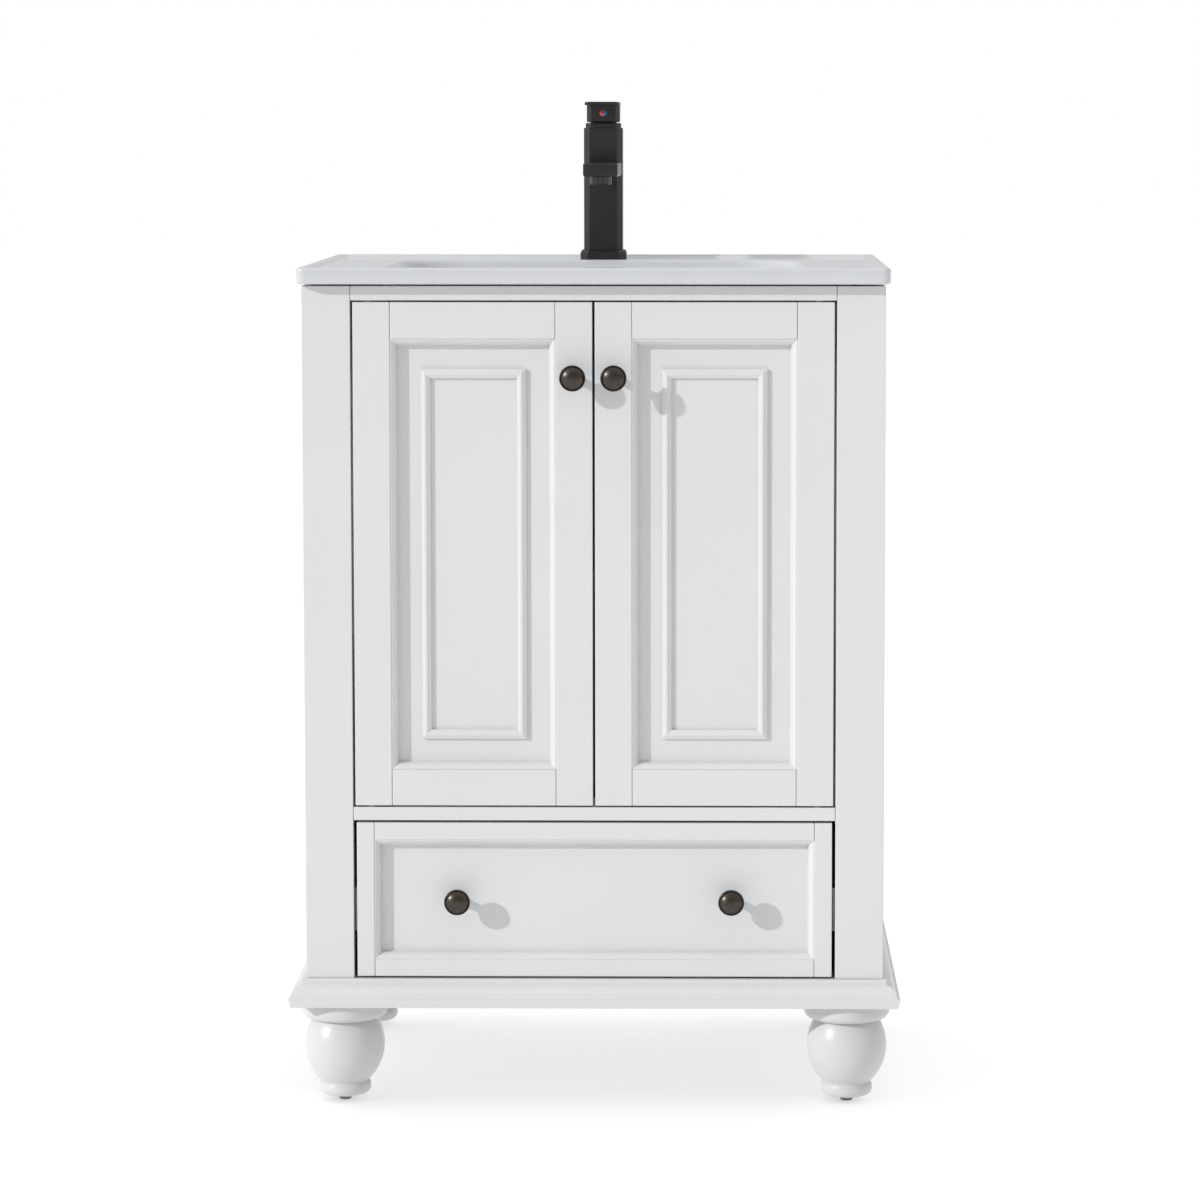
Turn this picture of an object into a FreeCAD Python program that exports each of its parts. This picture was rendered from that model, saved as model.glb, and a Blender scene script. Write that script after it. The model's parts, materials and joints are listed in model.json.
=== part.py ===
import FreeCAD, Part
import math
import os
import re

import Sketcher

# A free-standing vanity: a painted frame-and-panel cabinet on a moulded plinth and turned feet,
# two inset doors over one drawer, a ceramic top with its own bowl, a mixer and a pop-up drain.
# X runs to the right, Y to the back and Z up. The origin is on the floor, at the middle of the
# overall width and of the overall depth from the knobs to the back.

DRIVING = {
    # outline of the cabinet and of the ceramic top
    "cabinet_wide": 600, "front": 210, "back": 240, "cabinet_top": 856, "base_top": 136,
    "sink_wide": 610, "sink_front": 225, "sink_low": 858, "sink_thick": 17,
    # frame
    "post_wide": 50, "post_deep": 45, "rear_post": 40, "rail_thick": 20, "side_rail_high": 60,
    "top_rail_low": 841, "middle_low": 302, "middle_high": 316, "board": 12, "back_thick": 8,
    # doors and drawer front
    "door_low": 317.5, "door_high": 839.5, "door_meet": 1.25, "door_edge": 247.5,
    "stile_wide": 38, "drawer_low": 138, "drawer_high": 299.6, "drawer_edge": 246.5,
    "drawer_stile": 18, "recess": 12, "moulding": 7, "bead_inset": 24, "bead_wide": 9.4,
    "bead_high": 5.2,
    # door pivots: the axis stands in from the door's edge and in from its face
    "pivot_in": 16, "pivot_deep": 7, "pivot_pin": 3, "bush_bore": 3.05, "bush": 5,
    "leaf_long": 34, "leaf_wide": 12, "leaf_thick": 2.5,
    # knobs
    "knob_off_centre": 21, "door_knob_high": 762.5, "drawer_knob_off": 142,
    "drawer_knob_high": 218, "screw": 2,
    # plinth and feet
    "plinth_low": 107.5, "plinth_out": 17.5, "plinth_in": 10, "block": 90, "foot_in": 54,
    "rear_foot": 186, "foot_bolt": 4, "bolt_low": 72, "glide_high": 5.5, "stem": 4,
    "stem_bore": 4.05, "plinth_rear": 18,
    # wall screws, plumbing cut-out and door catches
    "hanging_half": 203.2, "hanging_down": 25, "wall_hole": 3, "pipe_half": 140,
    "pipe_low": 430, "pipe_high": 730, "catch_near": 3.5, "catch_wide": 35, "catch_deep": 14,
    "catch_high": 34, "strike_near": 8, "strike_far": 34,
    # drawer box and its runners
    "box_half": 237.3, "box_back": 200, "box_low": 150, "box_high": 260, "runner_mid": 205,
    "runner_back": 182, "steel": 1.2,
    # bowl
    "bowl_wide": 440, "bowl_front": 160, "bowl_back": 130, "bowl_corner": 65, "bowl_floor": 760,
    "wall": 10, "drain_y": 15, "drain_hole": 22.5, "faucet_y": 180, "faucet_hole": 17.5,
    "bowl_taper": 62, "bowl_rake": 52, "base_corner": 60, "tail_top": 690, "tail_low": 600,
    "guide_low": 738,
    # mixer
    "deck": 872, "rim": 12, "mixer_wide": 43, "mixer_deep": 45, "mixer_foot": 10,
    "mixer_top": 1017.5, "shank_low": 800,
    "spout_low": 964.5, "spout_high": 979, "spout_tip": 45, "shank": 14,
}

doc = FreeCAD.newDocument("Vanity")
sheet = doc.addObject("Spreadsheet::Sheet", "Dims")
for row, (alias, number) in enumerate(DRIVING.items(), start=1):
    sheet.set(f"A{row}", alias)
    sheet.set(f"B{row}", str(number))
    sheet.setAlias(f"B{row}", alias)
doc.recompute()

WORDS = re.compile(r"[a-z]+(?:_[a-z]+)*")
nodes = []


def cells(text):
    """Turn words of the sheet into references to their cells."""
    return WORDS.sub(lambda word: "Dims." + word[0] if word[0] in DRIVING else word[0], str(text))


def value(text):
    """The number that an expression of sheet words has now, in millimetres."""
    found = sheet.evalExpression(cells(text))
    return float(getattr(found, "Value", found))


def bind(thing, **places):
    """Bind properties of an object, such as x or Length, to expressions of sheet words."""
    for name, text in places.items():
        prop = "Placement.Base." + name if name in "xyz" else name
        thing.setExpression(prop, cells(text))
    return thing


def node(name, thing):
    """Name an object as a sub-part that is written out."""
    thing.Label = name
    nodes.append(thing)
    return thing


# ---- small builders: boards, cylinders, cuts, groups and mirrored copies ----

def board(x, y, z):
    """A box between pairs of expressions."""
    box = doc.addObject("Part::Box", "board")
    return bind(box, x=x[0], y=y[0], z=z[0], Length=f"({x[1]}) - ({x[0]})",
                Width=f"({y[1]}) - ({y[0]})", Height=f"({z[1]}) - ({z[0]})")


def rod(x, y, z, radius, high, turn=None):
    """A cylinder along Z, or along the axis that turn brings Z onto."""
    cylinder = doc.addObject("Part::Cylinder", "rod")
    if turn:
        cylinder.Placement.Rotation = turn
    return bind(cylinder, x=x, y=y, z=z, Radius=radius, Height=high)


def cut(thing, *tools):
    for tool in tools:
        result = doc.addObject("Part::Cut", "cut")
        result.Base = thing
        result.Tool = tool
        thing = result
    return thing


def fuse(*things):
    result = doc.addObject("Part::MultiFuse", "fuse")
    result.Shapes = list(things)
    return result


def group(*things):
    """Separate solids that share one node."""
    result = doc.addObject("Part::Compound", "group")
    result.Links = list(things)
    return result


def mirror(thing, normal=(1, 0, 0), at=None):
    """A copy mirrored in a plane through the origin, or through the height at."""
    result = doc.addObject("Part::Mirroring", "mirror")
    result.Source = thing
    result.Normal = FreeCAD.Vector(*normal)
    if at:
        result.setExpression("Base.z", cells(at))
    return result


def copies(thing, places):
    """Links to one object at several places, given as x, y, z expressions."""
    links = []
    for x, y, z in places:
        link = doc.addObject("App::Link", "copy")
        link.LinkedObject = thing
        links.append(bind(link, x=x, y=y, z=z))
    return group(*links)


FORWARD = FreeCAD.Rotation(FreeCAD.Vector(1, 0, 0), 90)      # brings +Z onto -Y
BACKWARD = FreeCAD.Rotation(FreeCAD.Vector(1, 0, 0), -90)    # brings +Z onto +Y


# ---- small builders: bodies of sketches ----

def new_body(name):
    return doc.addObject("PartDesign::Body", name)


def sketch_on(body, plane, offset=None):
    sketch = body.newObject("Sketcher::SketchObject", "sketch")
    origin = {feature.Role: feature for feature in body.Origin.OriginFeatures}
    sketch.AttachmentSupport = (origin[plane + "_Plane"], [""])
    sketch.MapMode = "FlatFace"
    if offset:
        sketch.setExpression("AttachmentOffset.Base.z", cells(offset))
    return sketch


def outline(sketch, corners):
    """Draw a closed outline; a corner with a third entry starts an arc of that radius.

    A plus radius bulges to the right of the way the outline runs, a minus one to the left, and
    the word dome stands for an arc whose centre is on the turning axis.
    """
    spots = [FreeCAD.Vector(value(corner[0]), value(corner[1]), 0) for corner in corners]
    first = sketch.GeometryCount
    ends = []
    for index, corner in enumerate(corners):
        start, stop = spots[index], spots[(index + 1) % len(spots)]
        if len(corner) == 2:
            sketch.addGeometry(Part.LineSegment(start, stop), False)
            ends.append((1, 2))
            continue
        chord = stop - start
        if corner[2] == "dome":
            rise = (start.x ** 2 + start.y ** 2 - stop.x ** 2 - stop.y ** 2) / 2
            centre = FreeCAD.Vector(0, rise / (start.y - stop.y), 0)
            radius = (start - centre).Length
        else:
            radius = value(corner[2])
            left = FreeCAD.Vector(-chord.y, chord.x, 0).normalize()
            reach = math.sqrt(max(radius ** 2 - (chord.Length / 2) ** 2, 0))
            centre = (start + stop) * 0.5 + left * math.copysign(reach, radius)
        if radius < 0:
            start, stop = stop, start
        angles = [math.atan2(spot.y - centre.y, spot.x - centre.x) for spot in (start, stop)]
        circle = Part.Circle(centre, FreeCAD.Vector(0, 0, 1), abs(radius))
        sketch.addGeometry(Part.ArcOfCircle(circle, *angles), False)
        ends.append((1, 2) if radius > 0 else (2, 1))
    for index, corner in enumerate(corners):
        here, after = first + index, first + (index + 1) % len(corners)
        sketch.addConstraint(Sketcher.Constraint(
            "Coincident", here, ends[index][1], after, ends[(index + 1) % len(corners)][0]))
        for kind, text in (("DistanceX", corner[0]), ("DistanceY", corner[1])):
            spot = spots[index].x if kind == "DistanceX" else spots[index].y
            number = sketch.addConstraint(Sketcher.Constraint(kind, here, ends[index][0], spot))
            sketch.setExpression(f"Constraints[{number}]", cells(text))
        if corner[-1] == "dome":
            sketch.addConstraint(Sketcher.Constraint("PointOnObject", here, 3, -2))
        elif len(corner) == 3:
            number = sketch.addConstraint(
                Sketcher.Constraint("Radius", here, abs(value(corner[2]))))
            sketch.setExpression(f"Constraints[{number}]", f"abs({cells(corner[2])})")
    return sketch


def rectangle(x, y):
    return [(x[0], y[0]), (x[1], y[0]), (x[1], y[1]), (x[0], y[1])]


def rounded(half_x, y, radius):
    """A rectangle about X = 0 with round corners."""
    low, high = y
    points = []
    for x, near, far, run in ((half_x, low, high, 1), (f"-({half_x})", high, low, -1)):
        inner = f"({x}) - {run} * ({radius})"
        points += [(inner, near, radius), (x, f"({near}) + {run} * ({radius})"),
                   (x, f"({far}) - {run} * ({radius})", radius), (inner, far)]
    return points


def pad(body, sketch, length, midplane=False, backwards=False):
    feature = body.newObject("PartDesign::Pad", "pad")
    feature.Profile = sketch
    feature.Midplane = midplane
    feature.Reversed = backwards
    return bind(feature, Length=length)


def pocket_through(body, sketch):
    """Cut right through the body, both ways from the sketch."""
    before = body.Shape.Volume
    feature = body.newObject("PartDesign::Pocket", "pocket")
    feature.Profile = sketch
    feature.Type = "ThroughAll"
    feature.Midplane = True
    doc.recompute()
    if not body.Shape.Volume < before - 1:
        raise RuntimeError(f"{body.Label}: the pocket cut nothing")
    return feature


def turned(name, corners):
    """A solid turned about Z; corners are radius and height."""
    body = new_body(name)
    sketch = outline(sketch_on(body, "XZ"), corners)
    feature = body.newObject("PartDesign::Revolution", "turning")
    feature.Profile = sketch
    feature.ReferenceAxis = (sketch, ["V_Axis"])
    return body


def padded(name, plane, corners, length, midplane=False, offset=None):
    body = new_body(name)
    pad(body, outline(sketch_on(body, plane, offset), corners), length, midplane)
    return body


def sweep_round(body, path, profile):
    """Carry a profile round a closed path of straight lines, with mitred corners."""
    feature = body.newObject("PartDesign::AdditivePipe", "moulding")
    feature.Profile = profile
    feature.Spine = (path, [f"Edge{index}" for index in range(1, 5)])
    feature.Transition = "Right corner"
    return feature


def sunk_panel(name, half_wide, half_high, bead):
    """A panel, 8 mm behind its frame's face less the recess, with its sticking moulding.

    It faces -Y, its frame's face is at Y = 0 and its middle is at the origin. The moulding is an
    ovolo between two small steps; the applied bead is a half-round rectangle.
    """
    body = new_body(name)
    field = outline(sketch_on(body, "XZ", "-rail_thick"),
                    rectangle((f"-({half_wide})", half_wide), (f"-({half_high})", half_high)))
    pad(body, field, "rail_thick - recess")
    edge = rectangle((f"-({half_wide})", half_wide), (f"-({half_high})", half_high))
    path = outline(sketch_on(body, "XZ"), edge)
    left = f"-({half_wide})"
    section = [(left, "recess"), (left, "0.8"), (f"{left} + 1.2", "0.8", "-9"),
               (f"{left} + moulding - 0.6", "recess - 1.6"), (f"{left} + moulding", "recess - 1.6"),
               (f"{left} + moulding", "recess")]
    sweep_round(body, path, outline(sketch_on(body, "XY"), section))
    if bead:
        line_x = f"({half_wide}) - moulding - bead_inset - bead_wide / 2"
        line_z = f"({half_high}) - moulding - bead_inset - bead_wide / 2"
        run = rectangle((f"-({line_x})", line_x), (f"-({line_z})", line_z))
        path = outline(sketch_on(body, "XZ"), run)
        low, high = f"-({line_x}) - bead_wide / 2", f"-({line_x}) + bead_wide / 2"
        foot = "recess - bead_high + 1.8"
        half_round = [(low, "recess"), (low, foot), (f"{low} + 1", foot, "4.6"),
                      (f"{high} - 1", foot), (high, foot), (high, "recess")]
        sweep_round(body, path, outline(sketch_on(body, "XY"), half_round))
    return body


# ---- cabinet frame ----

half = "cabinet_wide / 2"
inner = "cabinet_wide / 2 - post_wide"                   # half the width between the posts
side_inner = "cabinet_wide / 2 - rail_thick"             # inner face of the side frames

front_post = board((f"-({half})", f"-({inner})"), ("-front", "post_deep - front"),
                   ("base_top", "cabinet_top"))
node("posts_front", group(front_post, mirror(front_post)))
rear_post = board((f"-({half})", f"rear_post - {half}"), ("back - rear_post", "back"),
                  ("base_top", "cabinet_top"))
node("posts_rear", group(rear_post, mirror(rear_post)))

side_run = ("post_deep - front", "back - rear_post")
side_bottom = board((f"-({half})", f"-({side_inner})"), side_run,
                    ("base_top", "base_top + side_rail_high"))
side_top = board((f"-({half})", f"-({side_inner})"), side_run,
                 ("cabinet_top - side_rail_high", "cabinet_top"))
node("side_rails", group(side_bottom, side_top, mirror(side_bottom), mirror(side_top)))

side_field = sunk_panel("side_field", "(front + back - post_deep - rear_post) / 2",
                        "(cabinet_top - base_top) / 2 - side_rail_high", False)
side_field.Placement.Rotation = FreeCAD.Rotation(FreeCAD.Vector(0, 0, 1), -90)
bind(side_field, x=f"-({half})", y="(post_deep - front + back - rear_post) / 2",
     z="(cabinet_top + base_top) / 2")
node("side_panels", group(side_field, mirror(side_field)))

leaf_x = ("-door_edge + 2", "-door_edge + 2 + leaf_long")
pivot_x, pivot_y = "-door_edge + pivot_in", "-front + pivot_deep"
leaf_y = (f"{pivot_y} - leaf_wide / 2", f"{pivot_y} + leaf_wide / 2")
door_middle = "(door_low + door_high) / 2"
rail_y = ("-front", "rail_thick - front")


def frame_leaf():
    return board(leaf_x, leaf_y, ("top_rail_low", "top_rail_low + leaf_thick"))


top_rail = board((f"-({inner})", inner), rail_y, ("top_rail_low", "cabinet_top"))
node("top_rail", cut(top_rail, frame_leaf(), mirror(frame_leaf())))
middle_rail = board((f"-({inner})", inner), rail_y, ("middle_low", "middle_high"))
lower_leaf = mirror(frame_leaf(), (0, 0, 1), door_middle)
node("middle_rail", cut(middle_rail, lower_leaf, mirror(lower_leaf)))

rear_x = ("rear_post - cabinet_wide / 2", "cabinet_wide / 2 - rear_post")


def wall_hole(side):
    """One of two holes for wall screws, at the spacing of studs."""
    return rod(f"{side} * hanging_half", "back - 60", "cabinet_top - hanging_down", "wall_hole",
               80, BACKWARD)


hanging_y = ("back - back_thick - rail_thick", "back - back_thick")
hanging = board(rear_x, hanging_y, ("cabinet_top - side_rail_high", "cabinet_top"))
node("hanging_rail", cut(hanging, wall_hole(-1), wall_hole(1)))

back_sheet = board(rear_x, ("back - back_thick", "back"), ("base_top", "cabinet_top"))
pipe_gap = board(("-pipe_half", "pipe_half"), ("back - 20", "back + 10"),
                 ("pipe_low", "pipe_high"))
node("back_panel", cut(back_sheet, wall_hole(-1), wall_hole(1), pipe_gap))

# the cupboard floor fits round the posts
right = [(side_inner, "post_deep - front"), (side_inner, "back - rear_post"),
         (rear_x[1], "back - rear_post"), (rear_x[1], "back - back_thick")]
left = [(f"-({x})", y) for x, y in reversed(right)]
front_edge = [(f"-({inner})", "post_deep - front"), (f"-({inner})", "rail_thick - front"),
              (inner, "rail_thick - front"), (inner, "post_deep - front")]
shelf = padded("shelf", "XY", right + left + front_edge, "board",
               offset="middle_high - 1 - board")
node("divider_shelf", shelf)

# ---- base: bottom, blocks, plinth and feet ----

bottom_x = f"{half} - plinth_in"
bottom = board((f"-({bottom_x})", bottom_x), ("plinth_in - front", "back - plinth_rear"),
               ("base_top - board", "base_top"))


def corner_block(y):
    return board((f"-({bottom_x})", f"block - ({bottom_x})"), y,
                 ("plinth_low", "base_top - board"))


foot_x, foot_y = f"{half} + plinth_out - foot_in", "foot_in - front - plinth_out"
feet_places = [(f"{side} * ({foot_x})", y, 0) for y in (foot_y, "rear_foot") for side in (-1, 1)]
bolt = rod(0, 0, 0, "foot_bolt", "base_top - bolt_low")
blocks = group(*[block for y in (("plinth_in - front", "plinth_in - front + block"),
                                 ("back - plinth_rear - block", "back - plinth_rear"))
                 for block in (corner_block(y), mirror(corner_block(y)))])
bolts = copies(bolt, [(x, y, "bolt_low") for x, y, _ in feet_places])
node("corner_blocks", cut(blocks, bolts))
node("bottom_panel", cut(bottom, bolts))
node("foot_bolts", bolts)


def plinth_corners(edge, outer):
    """The plinth's section as an outline, edge being the cabinet's own face."""
    def out(distance):
        return f"{edge} + ({outer}) * ({distance})"
    return [(out("-plinth_in"), "plinth_low"), (out("plinth_out"), "plinth_low"),
            (out("plinth_out"), "base_top - 19"), (out("13.4"), "base_top - 15"),
            (out("13.4"), "base_top - 14.4"), (out("6"), "base_top - 6"),
            (out("3.6"), "base_top - 5.2"), (out("3.6"), "base_top"),
            (out("-plinth_in"), "base_top")]


mitre_out, mitre_in = f"{half} + plinth_out", bottom_x
plinth = new_body("plinth")
section = outline(sketch_on(plinth, "YZ"), plinth_corners("-front", -1))
pad(plinth, section, f"2 * ({mitre_out})", midplane=True)
doc.recompute()
for side in (-1, 1):
    waste = [(f"{side} * ({mitre_out})", "-front - plinth_out"),
             (f"{side} * ({mitre_in})", "plinth_in - front"),
             (f"{side} * ({mitre_out} + 5)", "plinth_in - front"),
             (f"{side} * ({mitre_out} + 5)", "-front - plinth_out")]
    pocket_through(plinth, outline(sketch_on(plinth, "XY"), waste))
node("plinth_front", plinth)

plinth_side = new_body("plinth_side")
section = outline(sketch_on(plinth_side, "XZ", "-back"), plinth_corners(f"-({half})", -1))
pad(plinth_side, section, "back + front + plinth_out")
doc.recompute()
waste = [(f"-({mitre_out})", "-front - plinth_out"), (f"-({mitre_in})", "plinth_in - front"),
         (f"-({mitre_in})", "-front - plinth_out - 5"),
         (f"-({mitre_out})", "-front - plinth_out - 5")]
pocket_through(plinth_side, outline(sketch_on(plinth_side, "XY"), waste))
node("plinth_sides", group(plinth_side, mirror(plinth_side)))
node("plinth_rear", board((f"-({bottom_x})", bottom_x), ("back - plinth_rear", "back"),
                          ("plinth_low", "base_top")))

foot = turned("foot", [
    (0, 44), ("stem_bore", 44), ("stem_bore", "glide_high"), (22, "glide_high", 5),
    (27, 10.5), (27, 17, 4), (25, 21), (25.5, 22, 51.75), (33.5, 88), (35, 88, 9),
    (45, 98), (45, "plinth_low"), ("foot_bolt", "plinth_low"), ("foot_bolt", "bolt_low"),
    (0, "bolt_low")])
node("bun_feet", copies(foot, feet_places))

leveller = turned("leveller", [(0, 0), (5.7, 0, 1), (6.7, 1), (6.7, "glide_high - 0.4"),
                               ("stem", "glide_high - 0.4"), ("stem", 36), (0, 36)])
for corner, place in zip(("front_left", "front_right", "rear_left", "rear_right"), feet_places):
    node("leveller_" + corner, copies(leveller, [place]))

# ---- doors ----

def pivot_pin():
    return rod(pivot_x, pivot_y, "top_rail_low - 10", "pivot_pin", "10 + leaf_thick")


upper = fuse(frame_leaf(), pivot_pin())
lower = mirror(upper, (0, 0, 1), door_middle)
node("pivot_frame_leaves", group(upper, mirror(upper), lower, mirror(lower)))

washer = cut(rod(pivot_x, pivot_y, "top_rail_low - 1.3", 5.5, 1.3),
             rod(pivot_x, pivot_y, "top_rail_low - 2", "pivot_pin + 0.2", 3))
low_washer = mirror(washer, (0, 0, 1), door_middle)
node("pivot_washers", group(washer, mirror(washer), low_washer, mirror(low_washer)))


def door_leaf():
    """A plate and bush let into the door's top edge."""
    plate = board(leaf_x, leaf_y, ("door_high - leaf_thick", "door_high"))
    return fuse(plate, rod(pivot_x, pivot_y, "door_high - 10", "bush", 10))


# a catch body under the top rail, cut away at the front for the strike on the door
catch = cut(board(("catch_near", "catch_near + catch_wide"),
                  ("rail_thick - front", "rail_thick - front + catch_deep"),
                  ("cabinet_top - catch_high", "cabinet_top")),
            board(("catch_near - 1", "catch_near + catch_wide + 1"),
                  ("rail_thick - front - 1", "rail_thick - front + 1.6"),
                  ("cabinet_top - catch_high - 1", "top_rail_low + 1")))
node("magnetic_catches", group(catch, mirror(catch)))

knob = turned("knob", [
    (0, 12), ("screw", 12), ("screw", 0), (6.5, 0), (6.5, 1.5), (4.6, 3), (4.6, 15, -6),
    (13, 20.4, 2), (13.5, 21.6), (13.5, 24, 1.2), (12.4, 25), (11.8, 25.2, "dome"), (0, 30)])


def placed(thing, x, y, z, turn=None):
    link = doc.addObject("App::Link", "placed")
    link.LinkedObject = thing
    if turn:
        link.Placement = FreeCAD.Placement(FreeCAD.Vector(), turn)
    return bind(link, x=x, y=y, z=z)


def knob_screw(x, start, z, through):
    """A pan-head screw that comes from behind, from the height start along Y, forwards."""
    shaft = rod(x, start, z, "screw", f"{through} + 11", FORWARD)
    head = rod(x, f"{start} + 2.8", z, 4.5, 2.8, FORWARD)
    return fuse(shaft, head)


def screw_hole(x, start, z):
    return rod(x, f"{start} + 1", z, "screw", "rail_thick + 30", FORWARD)


door_z = ("door_low", "door_high")
outer_stile = board(("-door_edge", "stile_wide - door_edge"), rail_y, door_z)
fitting = door_leaf()
low_fitting = mirror(fitting, (0, 0, 1), door_middle)
outer_stile = cut(outer_stile, fitting, low_fitting)
meeting_stile = board(("-door_meet - stile_wide", "-door_meet"), rail_y, door_z)
door_back = "rail_thick - front"
meeting_stile = cut(meeting_stile, screw_hole("-knob_off_centre", door_back, "door_knob_high"))
stiles = group(outer_stile, meeting_stile)
between = ("stile_wide - door_edge", "-door_meet - stile_wide")
rails = group(board(between, rail_y, ("door_low", "door_low + stile_wide")),
              board(between, rail_y, ("door_high - stile_wide", "door_high")))
panel = sunk_panel("door_panel", "(door_edge - door_meet) / 2 - stile_wide",
                   "(door_high - door_low) / 2 - stile_wide", True)
bind(panel, x="-(door_edge + door_meet) / 2", y="-front", z=door_middle)
bore = rod(pivot_x, pivot_y, "door_high - 11", "bush_bore", 12)
strike = board(("-strike_far", "-strike_near"), (door_back, f"{door_back} + 1.4"),
               ("door_high - 13.5", "door_high - 1.5"))
leaves = [cut(fitting, bore), cut(low_fitting, mirror(bore, (0, 0, 1), door_middle))]
door_knob = placed(knob, "-knob_off_centre", "-front", "door_knob_high", FORWARD)
door_screw = knob_screw("-knob_off_centre", door_back, "door_knob_high", "rail_thick")
door_parts = {"stiles": stiles, "rails": rails, "panel": panel, "knob": group(door_knob),
              "fittings": group(*leaves, strike, door_screw)}
for part_name, thing in door_parts.items():
    node("door_left_" + part_name, thing)
    node("door_right_" + part_name, mirror(thing))

# ---- drawer ----

drawer_z = ("drawer_low", "drawer_high")
stile = board(("-drawer_edge", "drawer_stile - drawer_edge"), rail_y, drawer_z)
node("drawer_front_stiles", group(stile, mirror(stile)))
front_x = ("drawer_stile - drawer_edge", "drawer_edge - drawer_stile")
node("drawer_front_rails", group(
    board(front_x, rail_y, ("drawer_low", "drawer_low + drawer_stile")),
    board(front_x, rail_y, ("drawer_high - drawer_stile", "drawer_high"))))
front_panel = sunk_panel("drawer_field", "drawer_edge - drawer_stile",
                         "(drawer_high - drawer_low) / 2 - drawer_stile", False)
bind(front_panel, y="-front", z="(drawer_low + drawer_high) / 2")
box_front = "rail_thick - front"
inside = f"{box_front} + board"
holes = [screw_hole(f"{side} * drawer_knob_off", inside, "drawer_knob_high") for side in (-1, 1)]
node("drawer_front_panel", cut(front_panel, *holes))
drawer_knobs = [placed(knob, f"{side} * drawer_knob_off", "recess - front", "drawer_knob_high",
                       FORWARD) for side in (-1, 1)]
node("drawer_knobs", group(*drawer_knobs))
node("drawer_knob_screws", group(*[
    knob_screw(f"{side} * drawer_knob_off", inside, "drawer_knob_high", "board + 8")
    for side in (-1, 1)]))

box_z = ("box_low", "box_high")
groove = board(("6 - box_half", "box_half - 6"), ("-front + rail_thick + 6", "box_back - 6"),
               ("box_low + 8", "box_low + 14"))
box_side = board(("-box_half", "board - box_half"), (box_front, "box_back"), box_z)
box_end_x = ("board - box_half", "box_half - board")
box_face = cut(board(box_end_x, (box_front, inside), box_z), *holes)
box_rear = board(box_end_x, ("box_back - board", "box_back"), box_z)
node("drawer_box", cut(group(box_side, mirror(box_side), box_face, box_rear), groove))
node("drawer_bottom", board(("6 - box_half", "box_half - 6"),
                            ("-front + rail_thick + 6", "box_back - 6"),
                            ("box_low + 8", "box_low + 14")))

cleat = board((f"-({side_inner})", f"-({inner})"), side_run, ("runner_mid - 25", "runner_mid + 25"))
node("runner_cleats", group(cleat, mirror(cleat)))


def channel(web_x, flange_x, half_high, y):
    """A C-shaped runner member: a web and two flanges, as one outline drawn in plan of its end."""
    return padded("channel", "XZ", [
        (web_x[0], f"runner_mid - {half_high}"), (flange_x, f"runner_mid - {half_high}"),
        (flange_x, f"runner_mid - {half_high} + steel"),
        (web_x[1], f"runner_mid - {half_high} + steel"),
        (web_x[1], f"runner_mid + {half_high} - steel"),
        (flange_x, f"runner_mid + {half_high} - steel"),
        (flange_x, f"runner_mid + {half_high}"), (web_x[0], f"runner_mid + {half_high}")],
        f"{y[1]} - ({y[0]})", offset=f"-({y[1]})")


runner_y = ("rail_thick - front + 2", "runner_back")
post_face = f"-({inner})"
outer_member = channel((post_face, f"{post_face} + steel"), f"{post_face} + 11", 22.5, runner_y)
middle_member = channel((f"{post_face} + 2.2", f"{post_face} + 2.2 + steel"),
                        f"{post_face} + 11.2", 20.3, runner_y)
inner_member = channel(("-box_half", "-box_half - steel"), "-box_half - 7.6", 17.5, runner_y)
node("runner_outer", group(outer_member, mirror(outer_member)))
node("runner_middle", group(middle_member, mirror(middle_member)))
node("runner_inner", group(inner_member, mirror(inner_member)))

# ---- ceramic top with its bowl ----

sink_pad = rod(f"{inner} + 25", "25 - front", "cabinet_top", 9, "sink_low - cabinet_top")
rear_pad = rod(f"{inner} + 28", "back - 20", "cabinet_top", 9, "sink_low - cabinet_top")
node("sink_pads", group(sink_pad, mirror(sink_pad), rear_pad, mirror(rear_pad)))

slab = padded("slab", "XY", rectangle(("-sink_wide / 2", "sink_wide / 2"),
                                      ("-sink_front", "back")),
              "sink_thick", offset="sink_low")
doc.recompute()


def pick_edges(feature, wanted):
    return [f"Edge{index}" for index, edge in enumerate(feature.Shape.Edges, start=1)
            if wanted(edge.BoundBox)]


def fillet(body, radius, wanted):
    base = body.Tip
    feature = body.newObject("PartDesign::Fillet", "rounding")
    feature.Base = (base, pick_edges(base, wanted))
    feature.Radius = radius
    doc.recompute()
    return feature


sink_front = -value("sink_front")
rim_top, underside = value("sink_low + sink_thick"), value("sink_low")
fillet(slab, 9, lambda box: box.ZLength > 10 and box.YMax < sink_front + 1)
fillet(slab, 4.5, lambda box: box.ZMin > rim_top - 0.01)
fillet(slab, 4, lambda box: box.ZMax < underside + 0.01)


def bowl_ring(grow):
    return rounded(f"bowl_wide / 2 + {grow}", (f"-bowl_front - {grow}", f"bowl_back + {grow}"),
                   f"bowl_corner + {grow}")


def bowl_base(grow):
    return rounded(f"bowl_wide / 2 - bowl_taper + {grow}",
                   (f"-bowl_front + bowl_rake - {grow}", f"bowl_back - bowl_rake + {grow}"),
                   f"base_corner + {grow}")


# the deck lies a little below the raised rim
sunk = outline(sketch_on(slab, "XY", "deck"),
               rounded("sink_wide / 2 - rim", ("rim - sink_front", "back - rim"), "rim"))
dish = slab.newObject("PartDesign::Pocket", "dish")
dish.Profile = sunk
dish.Reversed = True
bind(dish, Length="sink_low + sink_thick - deck + 1")
solid_slab = slab.Shape.Volume
doc.recompute()
if not slab.Shape.Volume < solid_slab - 1:
    raise RuntimeError("the deck isn't sunk below its rim")


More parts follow.
